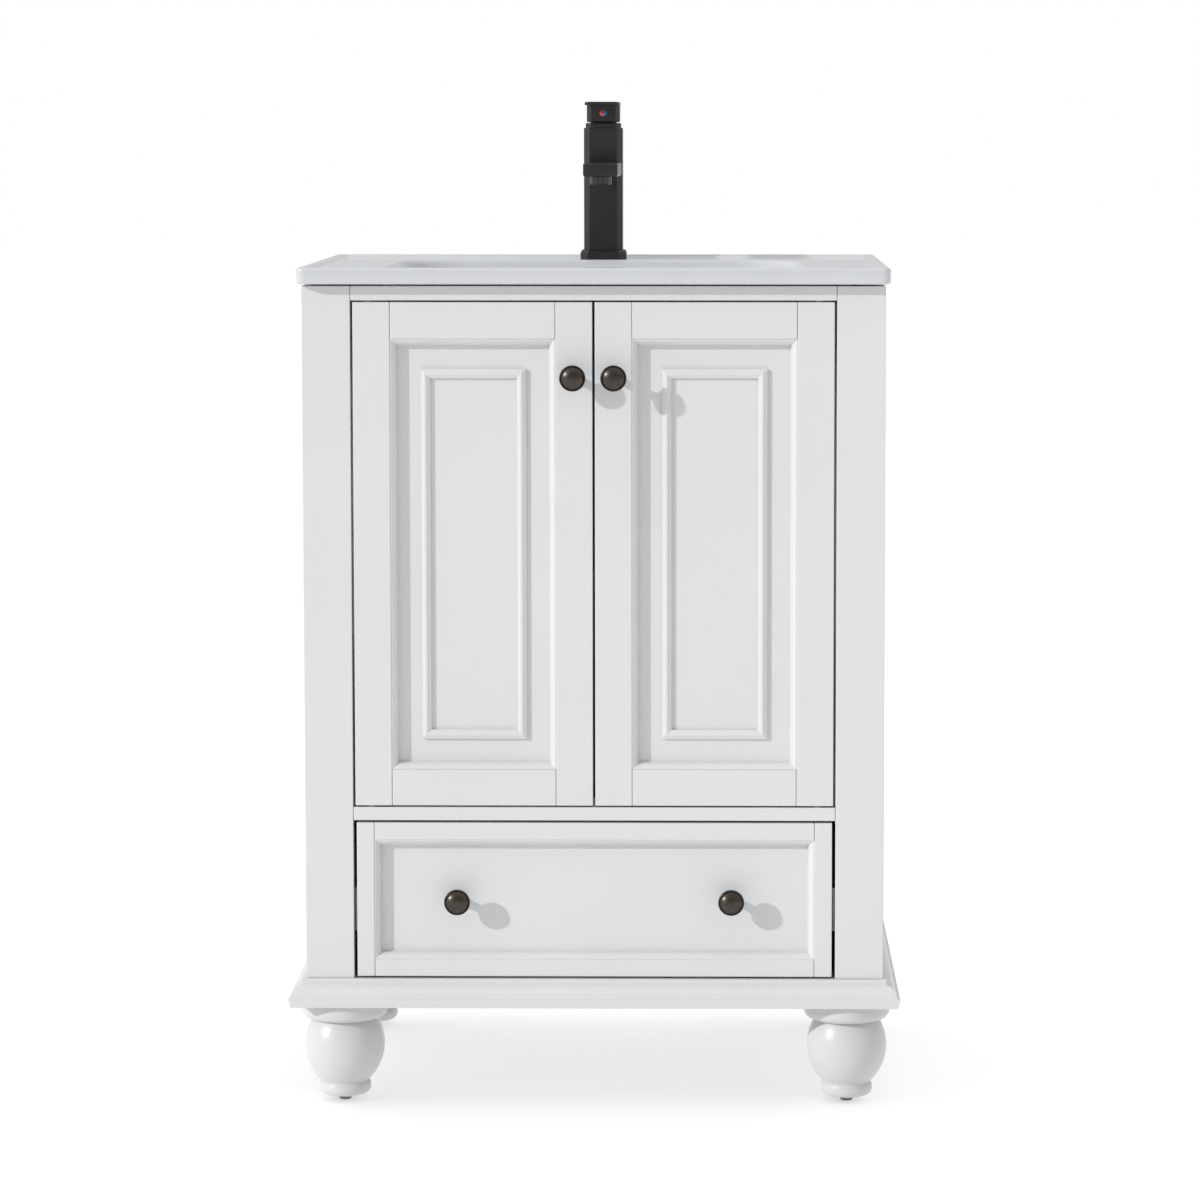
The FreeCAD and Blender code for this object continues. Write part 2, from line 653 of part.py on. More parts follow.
def bowl_solid(name, low, high, grow):
    """The tapering bowl between two heights, grown by a wall or not."""
    body = new_body(name)
    feature = body.newObject("PartDesign::AdditiveLoft", "bowl")
    feature.Profile = outline(sketch_on(body, "XY", low), bowl_base(grow))
    feature.Sections = [outline(sketch_on(body, "XY", high), bowl_ring(grow))]
    feature.Ruled = True
    doc.recompute()
    return body


hollow = bowl_solid("bowl_hollow", "bowl_floor", "deck", "0")
shell = bowl_solid("bowl_shell", "bowl_floor - wall", "sink_low", "wall")
drain_way = rod(0, "-drain_y", "bowl_floor - wall - 1", "drain_hole", "wall + 2")
faucet_way = rod(0, "faucet_y", "sink_low - 1", "faucet_hole", "sink_thick")
# the bowl is joined to the underside of the top
node("basin", group(cut(slab, hollow, faucet_way), cut(shell, hollow, drain_way)))

# ---- drain ----

drain = turned("drain", [
    (17, "bowl_floor + 3"), (30, "bowl_floor + 3"), (32, "bowl_floor + 1.5"),
    (32, "bowl_floor"), (22, "bowl_floor"), (22, "tail_top"), (16, "tail_top - 4"),
    (16, "tail_low"), (14.5, "tail_low"), (14.5, "tail_top - 6"), (17, "tail_top")])
bind(drain, y="-drain_y")
arm_z = ("guide_low", "guide_low + 6")
arms = [board((-17.5, 17.5), ("-drain_y - 1.5", "1.5 - drain_y"), arm_z),
        board((-1.5, 1.5), ("-drain_y - 17.5", "17.5 - drain_y"), arm_z),
        rod(0, "-drain_y", "guide_low - 6", 7, 12)]
guide_bore = rod(0, "-drain_y", "guide_low - 8", "stem_bore", 16)
node("drain_body", cut(fuse(drain, *arms), guide_bore))
gasket = cut(rod(0, "-drain_y", "bowl_floor - wall - 4", 33, 4),
             rod(0, "-drain_y", "bowl_floor - wall - 5", 22, 6))


def hexagon(y, z, across, high, hole):
    prism = doc.addObject("Part::Prism", "hexagon")
    prism.Polygon = 6
    bind(prism, y=y, z=z, Circumradius=f"{across} / 1.732", Height=high)
    return cut(prism, rod(0, y, f"{z} - 1", hole, f"{high} + 2"))


node("drain_nut", hexagon("-drain_y", "bowl_floor - wall - 18", 62, 14, 22))
plug = turned("plug", [(0, "bowl_floor + 10"), (0, "guide_low - 12"),
                       ("stem", "guide_low - 12"), ("stem", "bowl_floor - 4"),
                       (14, "bowl_floor - 2"), (16, "bowl_floor + 3.6"),
                       (27, "bowl_floor + 3.6"), (28, "bowl_floor + 5", "dome")])
bind(plug, y="-drain_y")
node("drain_plug", plug)

# ---- mixer ----


def block(half_x, y, z, edge):
    """An upright block with its four upright edges cut off."""
    low, high = y
    corners = []
    for x, near, far, run in ((half_x, low, high, 1), (f"-({half_x})", high, low, -1)):
        inside_x = f"({x}) - {run} * {edge}"
        corners += [(inside_x, near), (x, f"({near}) + {run} * {edge}"),
                    (x, f"({far}) - {run} * {edge}"), (inside_x, far)]
    return padded("block", "XY", corners, f"({z[1]}) - ({z[0]})", offset=z[0])


def across(reach):
    return (f"faucet_y - {reach}", f"faucet_y + {reach}")


def bored(z, radius, high):
    return rod(0, "faucet_y", z, radius, high)


plate = block(25.5, across(26), ("deck", "deck + mixer_foot"), 8)
node("faucet_base_plate", cut(plate, bored("deck - 1", "shank", "mixer_foot + 2")))
body_low = "deck + mixer_foot"
tower = block("mixer_wide / 2", across("mixer_deep / 2"), (body_low, "mixer_top"), 6)
collar = block(19.5, across(20.5), ("mixer_top", "mixer_top + 5.5"), 5)
tower = cut(fuse(tower, collar), bored(f"{body_low} - 1", "shank", 9), bored(body_low, 11, 100),
            bored("mixer_top - 45", 15, 60))
spout_y = ("spout_tip", "faucet_y - mixer_deep / 2")
channel_bore = rod(0, "faucet_y", "(spout_low + spout_high) / 2", 4.5,
                   "faucet_y - spout_tip - 14", FORWARD)
node("faucet_body", cut(tower, channel_bore))
spout = block(20.5, spout_y, ("spout_low", "spout_high"), 4)
node("faucet_spout", cut(spout, channel_bore, rod(0, "spout_tip + 17", "spout_low - 1", 9, 7)))
aerator = turned("aerator", [(6, "spout_low - 8.5"), (11.3, "spout_low - 8.5", 1),
                             (12, "spout_low - 7.6"), (12, "spout_low"), (9, "spout_low"),
                             (9, "spout_low + 6"), (6, "spout_low + 6")])
bind(aerator, y="spout_tip + 17")
node("faucet_aerator", aerator)
node("faucet_cartridge", fuse(bored("mixer_top - 45", 14.7, 44), bored("mixer_top - 2", 11, 4)))

shank = bored("shank_low", "shank", "deck + mixer_foot + 8 - shank_low")
inlets = [rod(side * 7, "faucet_y", "shank_low - 1", 5, 15) for side in (-1, 1)]
ways = [rod(side * 7, "faucet_y", "shank_low + 10", 4, 90) for side in (-1, 1)]
node("faucet_shank", cut(shank, *inlets, *ways))
washer = cut(bored("sink_low - 6", 27, 6), bored("sink_low - 7", "shank", 8))
node("sealing_washers", group(gasket, washer))
node("faucet_fixing_nut", hexagon("faucet_y", "sink_low - 16", 40, 10, "shank"))

spindle = block(5, across(5), ("mixer_top + 2", "mixer_top + 11"), 1)
node("faucet_spindle", spindle)
handle_low = "mixer_top + 6.3"
handle_block = block(18.3, across(19.5), (handle_low, "mixer_top + 25"), 4.5)
lever = block(18.8, ("faucet_y - 75", "faucet_y + 20"), ("mixer_top + 24.5", "mixer_top + 29"), 3)
socket = board((-8, 8), ("faucet_y - 13", "faucet_y + 11"), ("mixer_top + 5", "mixer_top + 17"))
dot_y, dot_z = "faucet_y - 19.5", "mixer_top + 16.5"
dot_seat = rod(0, "faucet_y - 18.9", dot_z, 4, 2, FORWARD)
node("faucet_handle", cut(fuse(handle_block, lever), socket, dot_seat))
node("faucet_index", rod(0, "faucet_y - 18.9", dot_z, 4, 1, FORWARD))

# ---- check and write ----

doc.recompute()
for thing in doc.Objects:
    if "Invalid" in thing.State or "Error" in thing.State:
        raise RuntimeError(f"{thing.Name} ({thing.Label}) failed: {thing.State}")
labels = [thing.Label for thing in nodes]
if len(set(labels)) != len(labels) or len(labels) > 60:
    raise RuntimeError(f"{len(labels)} nodes, repeated: {[n for n in labels if labels.count(n) > 1]}")
os.makedirs("parts", exist_ok=True)
for thing in nodes:
    shape = thing.Shape
    if shape.isNull() or not shape.isValid() or not shape.Solids:
        raise RuntimeError(f"{thing.Label} has no valid solid")
for thing in nodes:
    thing.Shape.exportStep(f"parts/{thing.Label}.step")
    print(f"{thing.Label:24s} solids {len(thing.Shape.Solids):2d}  volume {thing.Shape.Volume:12.0f}")
print(len(nodes), "nodes")
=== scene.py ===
import json
import math

import bmesh
import bpy
import numpy as np
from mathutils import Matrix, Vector


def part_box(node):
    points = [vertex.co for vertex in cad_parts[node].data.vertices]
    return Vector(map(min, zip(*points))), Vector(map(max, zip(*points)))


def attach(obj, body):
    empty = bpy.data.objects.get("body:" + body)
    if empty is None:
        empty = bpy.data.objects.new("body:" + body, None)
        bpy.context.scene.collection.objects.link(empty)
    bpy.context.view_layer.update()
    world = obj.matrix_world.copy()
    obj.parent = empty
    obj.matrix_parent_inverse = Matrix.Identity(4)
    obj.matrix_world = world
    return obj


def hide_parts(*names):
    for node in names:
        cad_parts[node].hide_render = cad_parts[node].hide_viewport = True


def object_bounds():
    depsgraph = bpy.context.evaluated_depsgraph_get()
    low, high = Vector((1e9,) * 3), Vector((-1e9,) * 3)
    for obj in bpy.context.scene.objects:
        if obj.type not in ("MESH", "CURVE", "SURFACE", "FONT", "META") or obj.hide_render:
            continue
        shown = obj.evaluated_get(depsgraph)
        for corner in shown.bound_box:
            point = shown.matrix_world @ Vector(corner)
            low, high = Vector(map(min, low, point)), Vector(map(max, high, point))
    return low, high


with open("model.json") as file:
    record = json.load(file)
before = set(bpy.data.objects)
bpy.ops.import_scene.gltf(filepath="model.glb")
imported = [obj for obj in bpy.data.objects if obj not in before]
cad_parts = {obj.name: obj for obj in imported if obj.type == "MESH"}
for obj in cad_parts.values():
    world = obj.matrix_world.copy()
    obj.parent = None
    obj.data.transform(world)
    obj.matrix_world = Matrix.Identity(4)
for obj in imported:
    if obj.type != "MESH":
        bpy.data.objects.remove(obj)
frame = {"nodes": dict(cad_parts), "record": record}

cadLow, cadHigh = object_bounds()
mm = 0.001
print("frame loaded,", len(frame["nodes"]), "nodes")


# Corners of a rectangle about a middle, in order round it; a chamfer cuts each corner off at 45 degrees.
def boxLoop(halfX, halfY, chamfer=0.0, middle=(0.0, 0.0)):
    turn = np.array([(1, -1), (1, 1), (-1, 1), (-1, -1)], float)
    corners = turn * (halfX, halfY)
    if chamfer:
        alongX = corners - turn * (chamfer, 0)
        alongY = corners - turn * (0, chamfer)
        first = np.where((turn[:, :1] * turn[:, 1:] < 0), alongX, alongY)
        last = np.where((turn[:, :1] * turn[:, 1:] < 0), alongY, alongX)
        corners = np.stack([first, last], 1).reshape(-1, 2)
    return corners + middle


# Each corner becomes a quadratic Bezier curve: (1-t)^2 a + 2t(1-t) corner + t^2 b, where a and b lie on the
# two sides, at the distance ease from the corner.
def easedLoop(corners, ease, steps):
    corners = np.asarray(corners, float)
    back, onward = np.roll(corners, 1, 0) - corners, np.roll(corners, -1, 0) - corners
    reach = np.broadcast_to(np.asarray(ease, float), len(corners))[:, None]
    a = corners + back * np.minimum(0.49, reach / np.linalg.norm(back, axis=1, keepdims=True))
    b = corners + onward * np.minimum(0.49, reach / np.linalg.norm(onward, axis=1, keepdims=True))
    t = np.linspace(0, 1, steps + 1)[:, None, None]
    curve = (1 - t) ** 2 * a + 2 * t * (1 - t) * corners + t ** 2 * b
    return curve.transpose(1, 0, 2).reshape(-1, 2)


# A flat loop of (x, y) gets one height: (x, y, height).
def lifted(loop, height):
    return np.column_stack([loop, np.full(len(loop), height)])


# The same Bezier rule for whole rings: a key ring turns into a few rings between its neighbours.
def easedRings(key, ease, steps=3):
    key = np.asarray(key, float)
    reach = np.broadcast_to(np.asarray(ease, float), len(key))
    t = np.linspace(0, 1, steps + 1)[:, None, None]
    rings = [key[:1]]
    for before, here, after, e in zip(key[:-2], key[1:-1], key[2:], reach[1:-1]):
        if e == 0:
            rings.append(here[None])
            continue
        toA, toB = before - here, after - here
        a = here + toA * np.minimum(0.48, e / np.maximum(np.linalg.norm(toA, axis=1, keepdims=True), 1e-9))
        b = here + toB * np.minimum(0.48, e / np.maximum(np.linalg.norm(toB, axis=1, keepdims=True), 1e-9))
        rings.append((1 - t) ** 2 * a + 2 * t * (1 - t) * here + t ** 2 * b)
    rings.append(key[-1:])
    return np.concatenate(rings)


# A smooth line through stations: each stretch is a Catmull-Rom cubic of its four nearest stations.
def curveThrough(stations, per):
    p = np.asarray(stations, float)
    p = np.vstack([2 * p[0] - p[1], p, 2 * p[-1] - p[-2]])
    t = np.linspace(0, 1, per, endpoint=False)[:, None, None]
    a, b, c, d = p[:-3], p[1:-2], p[2:-1], p[3:]
    line = b + 0.5 * ((c - a) * t + (2 * a - 5 * b + 4 * c - d) * t ** 2 + (3 * b - a - 3 * c + d) * t ** 3)
    return np.vstack([line.transpose(1, 0, 2).reshape(-1, p.shape[1]), p[-2:-1]])


# Points of an arc that rises from start to stop and bows sideways: the chord plus bow * sin(pi t) across it.
def bowed(start, stop, bow, count):
    start, stop = np.array(start, float), np.array(stop, float)
    t = np.linspace(0, 1, count)[:, None]
    chord = stop - start
    across = np.array([chord[1], -chord[0]]) / np.hypot(*chord)
    return start + chord * t + across * bow * np.sin(np.pi * t)


# Rings of points become a shell: quads between neighbouring rings, and one flat face at each end.
# Without ends the last ring joins the first, so the shell is a torus.
def skin(rings, ends=True, mitred=False, grain=None):
    count, around = rings.shape[:2]
    row = (np.arange(count - 1) if ends else np.arange(count))[:, None] * around
    nextRow = (row + around) % (count * around)
    j = np.arange(around)
    k = (j + 1) % around
    quads = np.stack([row + j, row + k, nextRow + k, nextRow + j], -1).reshape(-1, 4)
    caps = [list(range(around)), list(range((count - 1) * around, count * around))] if ends else []
    points = rings.reshape(-1, 3)
    uv = points[:, :2] if grain is None else grain(points)
    creases = np.stack([row + j, nextRow + j], -1).reshape(-1, 2) if mitred else np.zeros((0, 2), int)
    return {"points": points, "quads": quads, "caps": caps, "uv": uv, "creases": creases}


# Puts local rings (along, up, out) into the frame: origin + a * along + b * up + c * out.
def placed(rings, origin, along=(1, 0, 0), up=(0, 0, 1), out=(0, -1, 0)):
    return np.asarray(rings) @ np.array([along, up, out], float) + np.asarray(origin, float)


# A ring for each point of a profile of radius and height: (r cos a, r sin a, h); rib changes the radius by
# angle and height.
def turned(profile, ease=0.0, sides=64, rib=None):
    profile = np.asarray(profile, float)
    angle = np.linspace(0, 2 * np.pi, sides, endpoint=False)
    radius = profile[:, :1] * (np.ones(sides) if rib is None else rib(angle, profile[:, 1:]))
    rings = np.stack([radius * np.cos(angle), radius * np.sin(angle), profile[:, 1:] + 0 * angle], -1)
    return easedRings(rings, ease)


# A straight board: rounded rectangles stacked along its longest side, drawn in at both ends.
# Its grain map runs along the board, and across it over the broad and narrow faces in turn.
def easedBoard(low, high, ease=0.0009):
    low, high = np.array(low, float), np.array(high, float)
    middle, half = (low + high) / 2, (high - low) / 2
    long = int(np.argmax(half))
    p, q = [axis for axis in range(3) if axis != long]
    capLoop = easedLoop(boxLoop(half[p] - 2 * ease, half[q] - 2 * ease), 0.4 * ease, 3)
    sideLoop = easedLoop(boxLoop(half[p], half[q]), ease, 3)
    key = [lifted(capLoop, -half[long]), lifted(sideLoop, -half[long]),
           lifted(sideLoop, half[long]), lifted(capLoop, half[long])]
    rings = easedRings(key, ease)
    order = [0, 0, 0]
    order[p], order[q], order[long] = 0, 1, 2
    wide, thin = (p, q) if half[p] > half[q] else (q, p)
    offset = (middle * (7.3, 11.7, 5.9)).sum()    # each board shows its own stretch of grain

    def grain(points):
        return np.column_stack([points[:, long] + offset, points[:, wide] + 0.9 * points[:, thin] + offset])
    return skin(rings[:, :, order] + middle, grain=grain)


# A node's box: its low and high corner, its middle (low + high) / 2 and its half size (high - low) / 2.
def boxOf(node):
    low, high = map(np.array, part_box(node))
    return low, high, (low + high) / 2, (high - low) / 2


# The boxes of a node's separate solids: triangles that share a corner take the smallest of their labels
# until no label changes.
def solidsOf(node):
    mesh = frame["nodes"][node].data
    points = np.empty(len(mesh.vertices) * 3)
    mesh.vertices.foreach_get("co", points)
    points = points.reshape(-1, 3)
    corner = np.empty(len(mesh.loops), int)
    mesh.loops.foreach_get("vertex_index", corner)
    same = np.unique(np.round(points, 6), axis=0, return_inverse=True)[1].ravel()
    triangles = same[corner].reshape(-1, 3)
    label = np.arange(same.max() + 1)
    while True:
        lower = label.copy()
        np.minimum.at(lower, triangles.ravel(), np.repeat(label[triangles].min(1), 3))
        lower = lower[lower]
        if (lower == label).all():
            break
        label = lower
    mine = label[same]
    boxes = [(points[mine == each].min(0), points[mine == each].max(0)) for each in np.unique(mine)]
    return sorted(boxes, key=lambda box: tuple(np.round(box[0], 3)))


# Joins shells into one mesh that rides on a body and stands for CAD nodes; edges that turn more than smooth
# degrees, and the mitres, stay crisp.
def makePiece(name, shells, finish, body, nodes, smooth=38):
    start, points, faces, uv, creases = 0, [], [], [], []
    for shell in shells:
        points.append(shell["points"])
        uv.append(shell["uv"])
        faces += (shell["quads"] + start).tolist() + [[v + start for v in cap] for cap in shell["caps"]]
        creases.append(shell["creases"] + start)
        start += len(shell["points"])
    mesh = bpy.data.meshes.new(name)
    mesh.from_pydata(np.concatenate(points).tolist(), [], faces)
    work = bmesh.new()
    work.from_mesh(mesh)
    bmesh.ops.recalc_face_normals(work, faces=work.faces)
    work.to_mesh(mesh)
    work.free()
    mesh.shade_smooth()
    mesh.set_sharp_from_angle(angle=math.radians(smooth))
    wanted = np.sort(np.concatenate(creases), 1)
    if len(wanted):
        edges = np.empty(len(mesh.edges) * 2, int)
        mesh.edges.foreach_get("vertices", edges)
        edges = np.sort(edges.reshape(-1, 2), 1)
        sharp = np.zeros(len(mesh.edges), bool)
        mesh.attributes["sharp_edge"].data.foreach_get("value", sharp)
        sharp |= np.isin(edges[:, 0] * start + edges[:, 1], wanted[:, 0] * start + wanted[:, 1])
        mesh.attributes["sharp_edge"].data.foreach_set("value", sharp)
    corner = np.empty(len(mesh.loops), int)
    mesh.loops.foreach_get("vertex_index", corner)
    layer = mesh.uv_layers.new(name="grain")
    layer.data.foreach_set("uv", np.concatenate(uv)[corner].astype(np.float32).ravel())
    mesh.materials.append(finish)
    piece = bpy.data.objects.new(name, mesh)
    bpy.context.scene.collection.objects.link(piece)
    # broad faces stay flat beside their eased edges
    even = piece.modifiers.new("evenNormals", "WEIGHTED_NORMAL")
    even.keep_sharp = True
    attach(piece, body)
    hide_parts(*nodes)
    return piece


# A socket of a node; arithmetic on it adds Math nodes.
class Wire:
    def __init__(self, recipe, socket):
        self.recipe, self.socket = recipe, socket

    def math(self, operation, first, second):
        return self.recipe.add("ShaderNodeMath", {"operation": operation}, {0: first, 1: second})

    def __add__(self, other):
        return self.math("ADD", self, other)

    def __radd__(self, other):
        return self.math("ADD", other, self)

    def __sub__(self, other):
        return self.math("SUBTRACT", self, other)

    def __rsub__(self, other):
        return self.math("SUBTRACT", other, self)

    def __mul__(self, other):
        return self.math("MULTIPLY", self, other)

    def __rmul__(self, other):
        return self.math("MULTIPLY", other, self)

    def atLeast(self, level):
        return self.math("MAXIMUM", self, level)


# A node tree that grows by one method.
class Recipe:
    def __init__(self, tree):
        self.tree = tree
        self.tree.nodes.clear()

    def add(self, kind, settings=None, sockets=None, out=0):
        node = self.tree.nodes.new(kind)
        for key, setting in (settings or {}).items():
            setattr(node, key, setting)
        for key, given in (sockets or {}).items():
            if isinstance(given, Wire):
                self.tree.links.new(given.socket, node.inputs[key])
            else:
                node.inputs[key].default_value = given
        return Wire(self, node.outputs[out]) if node.outputs else node

    # A spot on the piece, times a stretch along each axis.
    def place(self, stretch, source):
        spot = self.add("ShaderNodeTexCoord", out=source)
        return self.add("ShaderNodeMapping", {}, {"Vector": spot, "Scale": stretch})

    # Cloudy values between 0 and 1; scale counts the clouds in a metre.
    def noise(self, scale, detail=2.0, rough=0.5, stretch=(1, 1, 1), source="Object", twist=0.0):
        return self.add("ShaderNodeTexNoise", {}, {"Vector": self.place(stretch, source), "Scale": scale,
                        "Detail": detail, "Roughness": rough, "Distortion": twist})

    # Colour a where the factor is 0 and b where it is 1: a + (b - a) * factor.
    def blend(self, factor, a, b):
        return self.add("ShaderNodeMix", {"data_type": "RGBA"}, {0: factor, 6: a, 7: b}, out=2)

    # (wire - low) / (high - low), held between 0 and 1.
    def between(self, wire, low, high):
        return self.add("ShaderNodeMapRange", {}, {"Value": wire, "From Min": low, "From Max": high})

    # A normal that leans as a surface does which rises by height times distance.
    def bump(self, height, distance, over=None):
        sockets = {"Height": height, "Distance": distance, "Strength": 1.0}
        if over is not None:
            sockets["Normal"] = over
        return self.add("ShaderNodeBump", {}, sockets, out="Normal")


# An empty material and the recipe that fills it.
def newFinish(name):
    material = bpy.data.materials.new(name)
    material.use_nodes = True
    return material, Recipe(material.node_tree)


# A colour in linear light, fully opaque.
def tint(red, green, blue):
    return (red, green, blue, 1.0)


# Ends a recipe: the sockets feed the principled shader, and that feeds the surface.
def close(recipe, sockets):
    shader = recipe.add("ShaderNodeBsdfPrincipled", {}, sockets, out="BSDF")
    recipe.add("ShaderNodeOutputMaterial", {}, {"Surface": shader})


# Sprayed satin paint: slow clouds of tone, a long soft wave and a fine orange peel.
def paintFinish(name, light, dark, gloss=0.36):
    material, r = newFinish(name)
    cloud = r.noise(5.0, 3.0)
    peel = r.noise(900.0, 2.0)
    wave = r.noise(38.0, 2.0)
    close(r, {"Base Color": r.blend(r.between(cloud, 0.3, 0.7), light, dark),
              "Roughness": gloss - 0.05 + 0.1 * r.noise(14.0, 2.0),
              "Normal": r.bump(peel, 0.000018, r.bump(wave, 0.00012)),
              "Specular IOR Level": 0.45})
    return material


# Fired glaze: nearly flat colour, a slow ripple that bends reflections, and a clear coat.
def glazeFinish():
    material, r = newFinish("ceramicGlaze")
    cloud = r.noise(7.0, 2.0)
    close(r, {"Base Color": r.blend(r.between(cloud, 0.3, 0.7), tint(0.560, 0.570, 0.590),
                                    tint(0.585, 0.594, 0.612)),
              "Roughness": 0.07 + 0.05 * r.noise(30.0, 2.0),
              "Normal": r.bump(r.noise(11.0, 1.0), 0.0005),
              "Coat Weight": 0.6, "Coat Roughness": 0.04})
    return material


# Powder-fine black on metal, with a soft sheen that varies a little.
def blackFinish(name, gloss):
    material, r = newFinish(name)
    speck = r.noise(2600.0, 2.0)
    close(r, {"Base Color": r.blend(r.between(r.noise(60.0, 3.0), 0.35, 0.65), tint(0.0050, 0.0050, 0.0055),
                                    tint(0.0090, 0.0090, 0.0095)),
              "Roughness": gloss - 0.04 + 0.08 * r.noise(90.0, 2.0),
              "Normal": r.bump(speck, 0.000008),
              "Specular IOR Level": 0.6})
    return material


# Oil-rubbed bronze: a near-black patina with slow clouds where it has worn to brown.
def bronzeFinish():
    material, r = newFinish("oilRubbedBronze")
    worn = r.between(r.noise(190.0, 2.0, 0.5), 0.2, 0.9)
    close(r, {"Base Color": r.blend(worn, tint(0.052, 0.044, 0.038), tint(0.088, 0.072, 0.060)),
              "Roughness": 0.30 + 0.14 * r.noise(420.0, 2.0),
              "Metallic": 1.0,
              "Normal": r.bump(r.noise(1500.0, 2.0), 0.000012),
              "Coat Weight": 0.25, "Coat Roughness": 0.18})
    return material


# Rotary-cut birch: long cathedral bands and short pores, both drawn out along the board's own grain map.
def birchFinish(name, pale, brown):
    material, r = newFinish(name)
    stretch = (1.6, 26.0, 1.0)
    bands = r.noise(2.2, 4.0, 0.55, stretch, "UV", 0.6)
    fleck = r.between(r.noise(14.0, 3.0, 0.6, stretch, "UV"), 0.52, 0.72)
    tone = r.blend(r.between(bands, 0.32, 0.68), pale, brown)
    close(r, {"Base Color": r.blend(0.35 * fleck, tone, tint(0.36, 0.23, 0.12)),
              "Roughness": 0.42 + 0.12 * bands,
              "Normal": r.bump(fleck, 0.00003),
              "Coat Weight": 0.15, "Coat Roughness": 0.25})
    return material


# Melamine-faced board: white with a faint pearl texture pressed into it.
def boardFinish():
    material, r = newFinish("melamineBoard")
    pearl = r.noise(650.0, 3.0, 0.6)
    close(r, {"Base Color": r.blend(r.between(r.noise(9.0, 3.0), 0.3, 0.7), tint(0.62, 0.62, 0.61),
                                    tint(0.66, 0.66, 0.655)),
              "Roughness": 0.42 + 0.1 * pearl, "Normal": r.bump(pearl, 0.00004)})
    return material


# Drawn metal: fine scratches along one direction over slow clouds.
def metalFinish(name, light, dark, gloss, stretch=(600, 3, 600)):
    material, r = newFinish(name)
    scratch = r.noise(1.0, 3.0, 0.6, stretch)
    cloud = r.noise(45.0, 3.0)
    close(r, {"Base Color": r.blend(r.between(cloud, 0.3, 0.7), light, dark),
              "Metallic": 1.0, "Roughness": gloss - 0.05 + 0.12 * scratch + 0.05 * cloud,
              "Normal": r.bump(scratch, 0.000006)})
    return material


# Moulded plastic or rubber: an even colour with a spark-eroded grain.
def mouldedFinish(name, colour, shade, gloss, grain=1100.0):
    material, r = newFinish(name)
    pebble = r.noise(grain, 2.0)
    close(r, {"Base Color": r.blend(r.between(r.noise(120.0, 2.0), 0.3, 0.7), colour, shade),
              "Roughness": gloss - 0.04 + 0.1 * pebble, "Normal": r.bump(pebble, 0.00002)})
    return material


# Enamel dot: red on the left half, blue on the right, with a thin dark line between them.
def dotFinish():
    material, r = newFinish("indexEnamel")
    side = r.add("ShaderNodeSeparateXYZ", {}, {0: r.add("ShaderNodeTexCoord", out="Object")}, out="X")
    red = r.blend(r.noise(500.0), tint(0.60, 0.03, 0.022), tint(0.74, 0.06, 0.04))
    blue = r.blend(r.noise(500.0), tint(0.012, 0.13, 0.36), tint(0.02, 0.2, 0.5))
    both = r.blend(r.between(side, -0.00012, 0.00012), red, blue)
    gap = r.between(side * side, 0.00000002, 0.00000009)    # from 0.14 to 0.3 mm off the middle
    close(r, {"Base Color": r.blend(gap, tint(0.01, 0.01, 0.012), both),
              "Roughness": 0.2 + 0.08 * r.noise(700.0), "Coat Weight": 0.8, "Coat Roughness": 0.08})
    return material


finishes = {
    "white_paint": paintFinish("whitePaint", tint(0.672, 0.676, 0.684), tint(0.650, 0.654, 0.662)),
    # the feet's paint is a darker copy of the white paint: painted shade for the shade they stand in under
    # the plinth
    "feet_paint": paintFinish("feetShadedPaint", tint(0.610, 0.612, 0.618), tint(0.585, 0.588, 0.594), 0.33),
    "inner_board": boardFinish(),
    "drawer_wood": birchFinish("birchBoard", tint(0.66, 0.53, 0.37), tint(0.56, 0.42, 0.27)),
    "bronze": bronzeFinish(),
    "ceramic_glaze": glazeFinish(),
    "black_finish": blackFinish("matteBlack", 0.34),
    "aerator_black": blackFinish("aeratorBlack", 0.16),
    "index_enamel": dotFinish(),
    "steel": metalFinish("zincSteel", tint(0.60, 0.61, 0.62), tint(0.50, 0.51, 0.52), 0.34),
    "nylon": mouldedFinish("greyNylon", tint(0.20, 0.21, 0.22), tint(0.16, 0.17, 0.18), 0.45),
    "catch_plastic": mouldedFinish("catchPlastic", tint(0.74, 0.74, 0.72), tint(0.68, 0.68, 0.66), 0.38),
    "rubber_part": mouldedFinish("blackRubber", tint(0.03, 0.03, 0.03), tint(0.05, 0.05, 0.05), 0.7, 700.0),
    "drain_metal": metalFinish("chromePlate", tint(0.80, 0.81, 0.82), tint(0.74, 0.75, 0.76), 0.12,
                               (30, 30, 30)),
    "mixer_brass": metalFinish("turnedBrass", tint(0.70, 0.52, 0.25), tint(0.58, 0.42, 0.20), 0.3,
                               (4, 4, 900)),
}
print("finishes made:", len(finishes))

flush = 0.12 * mm    # boards stand back this much from a metal plate let into them
joint = 0.4 * mm     # a hairline where a rail meets a stile or a post
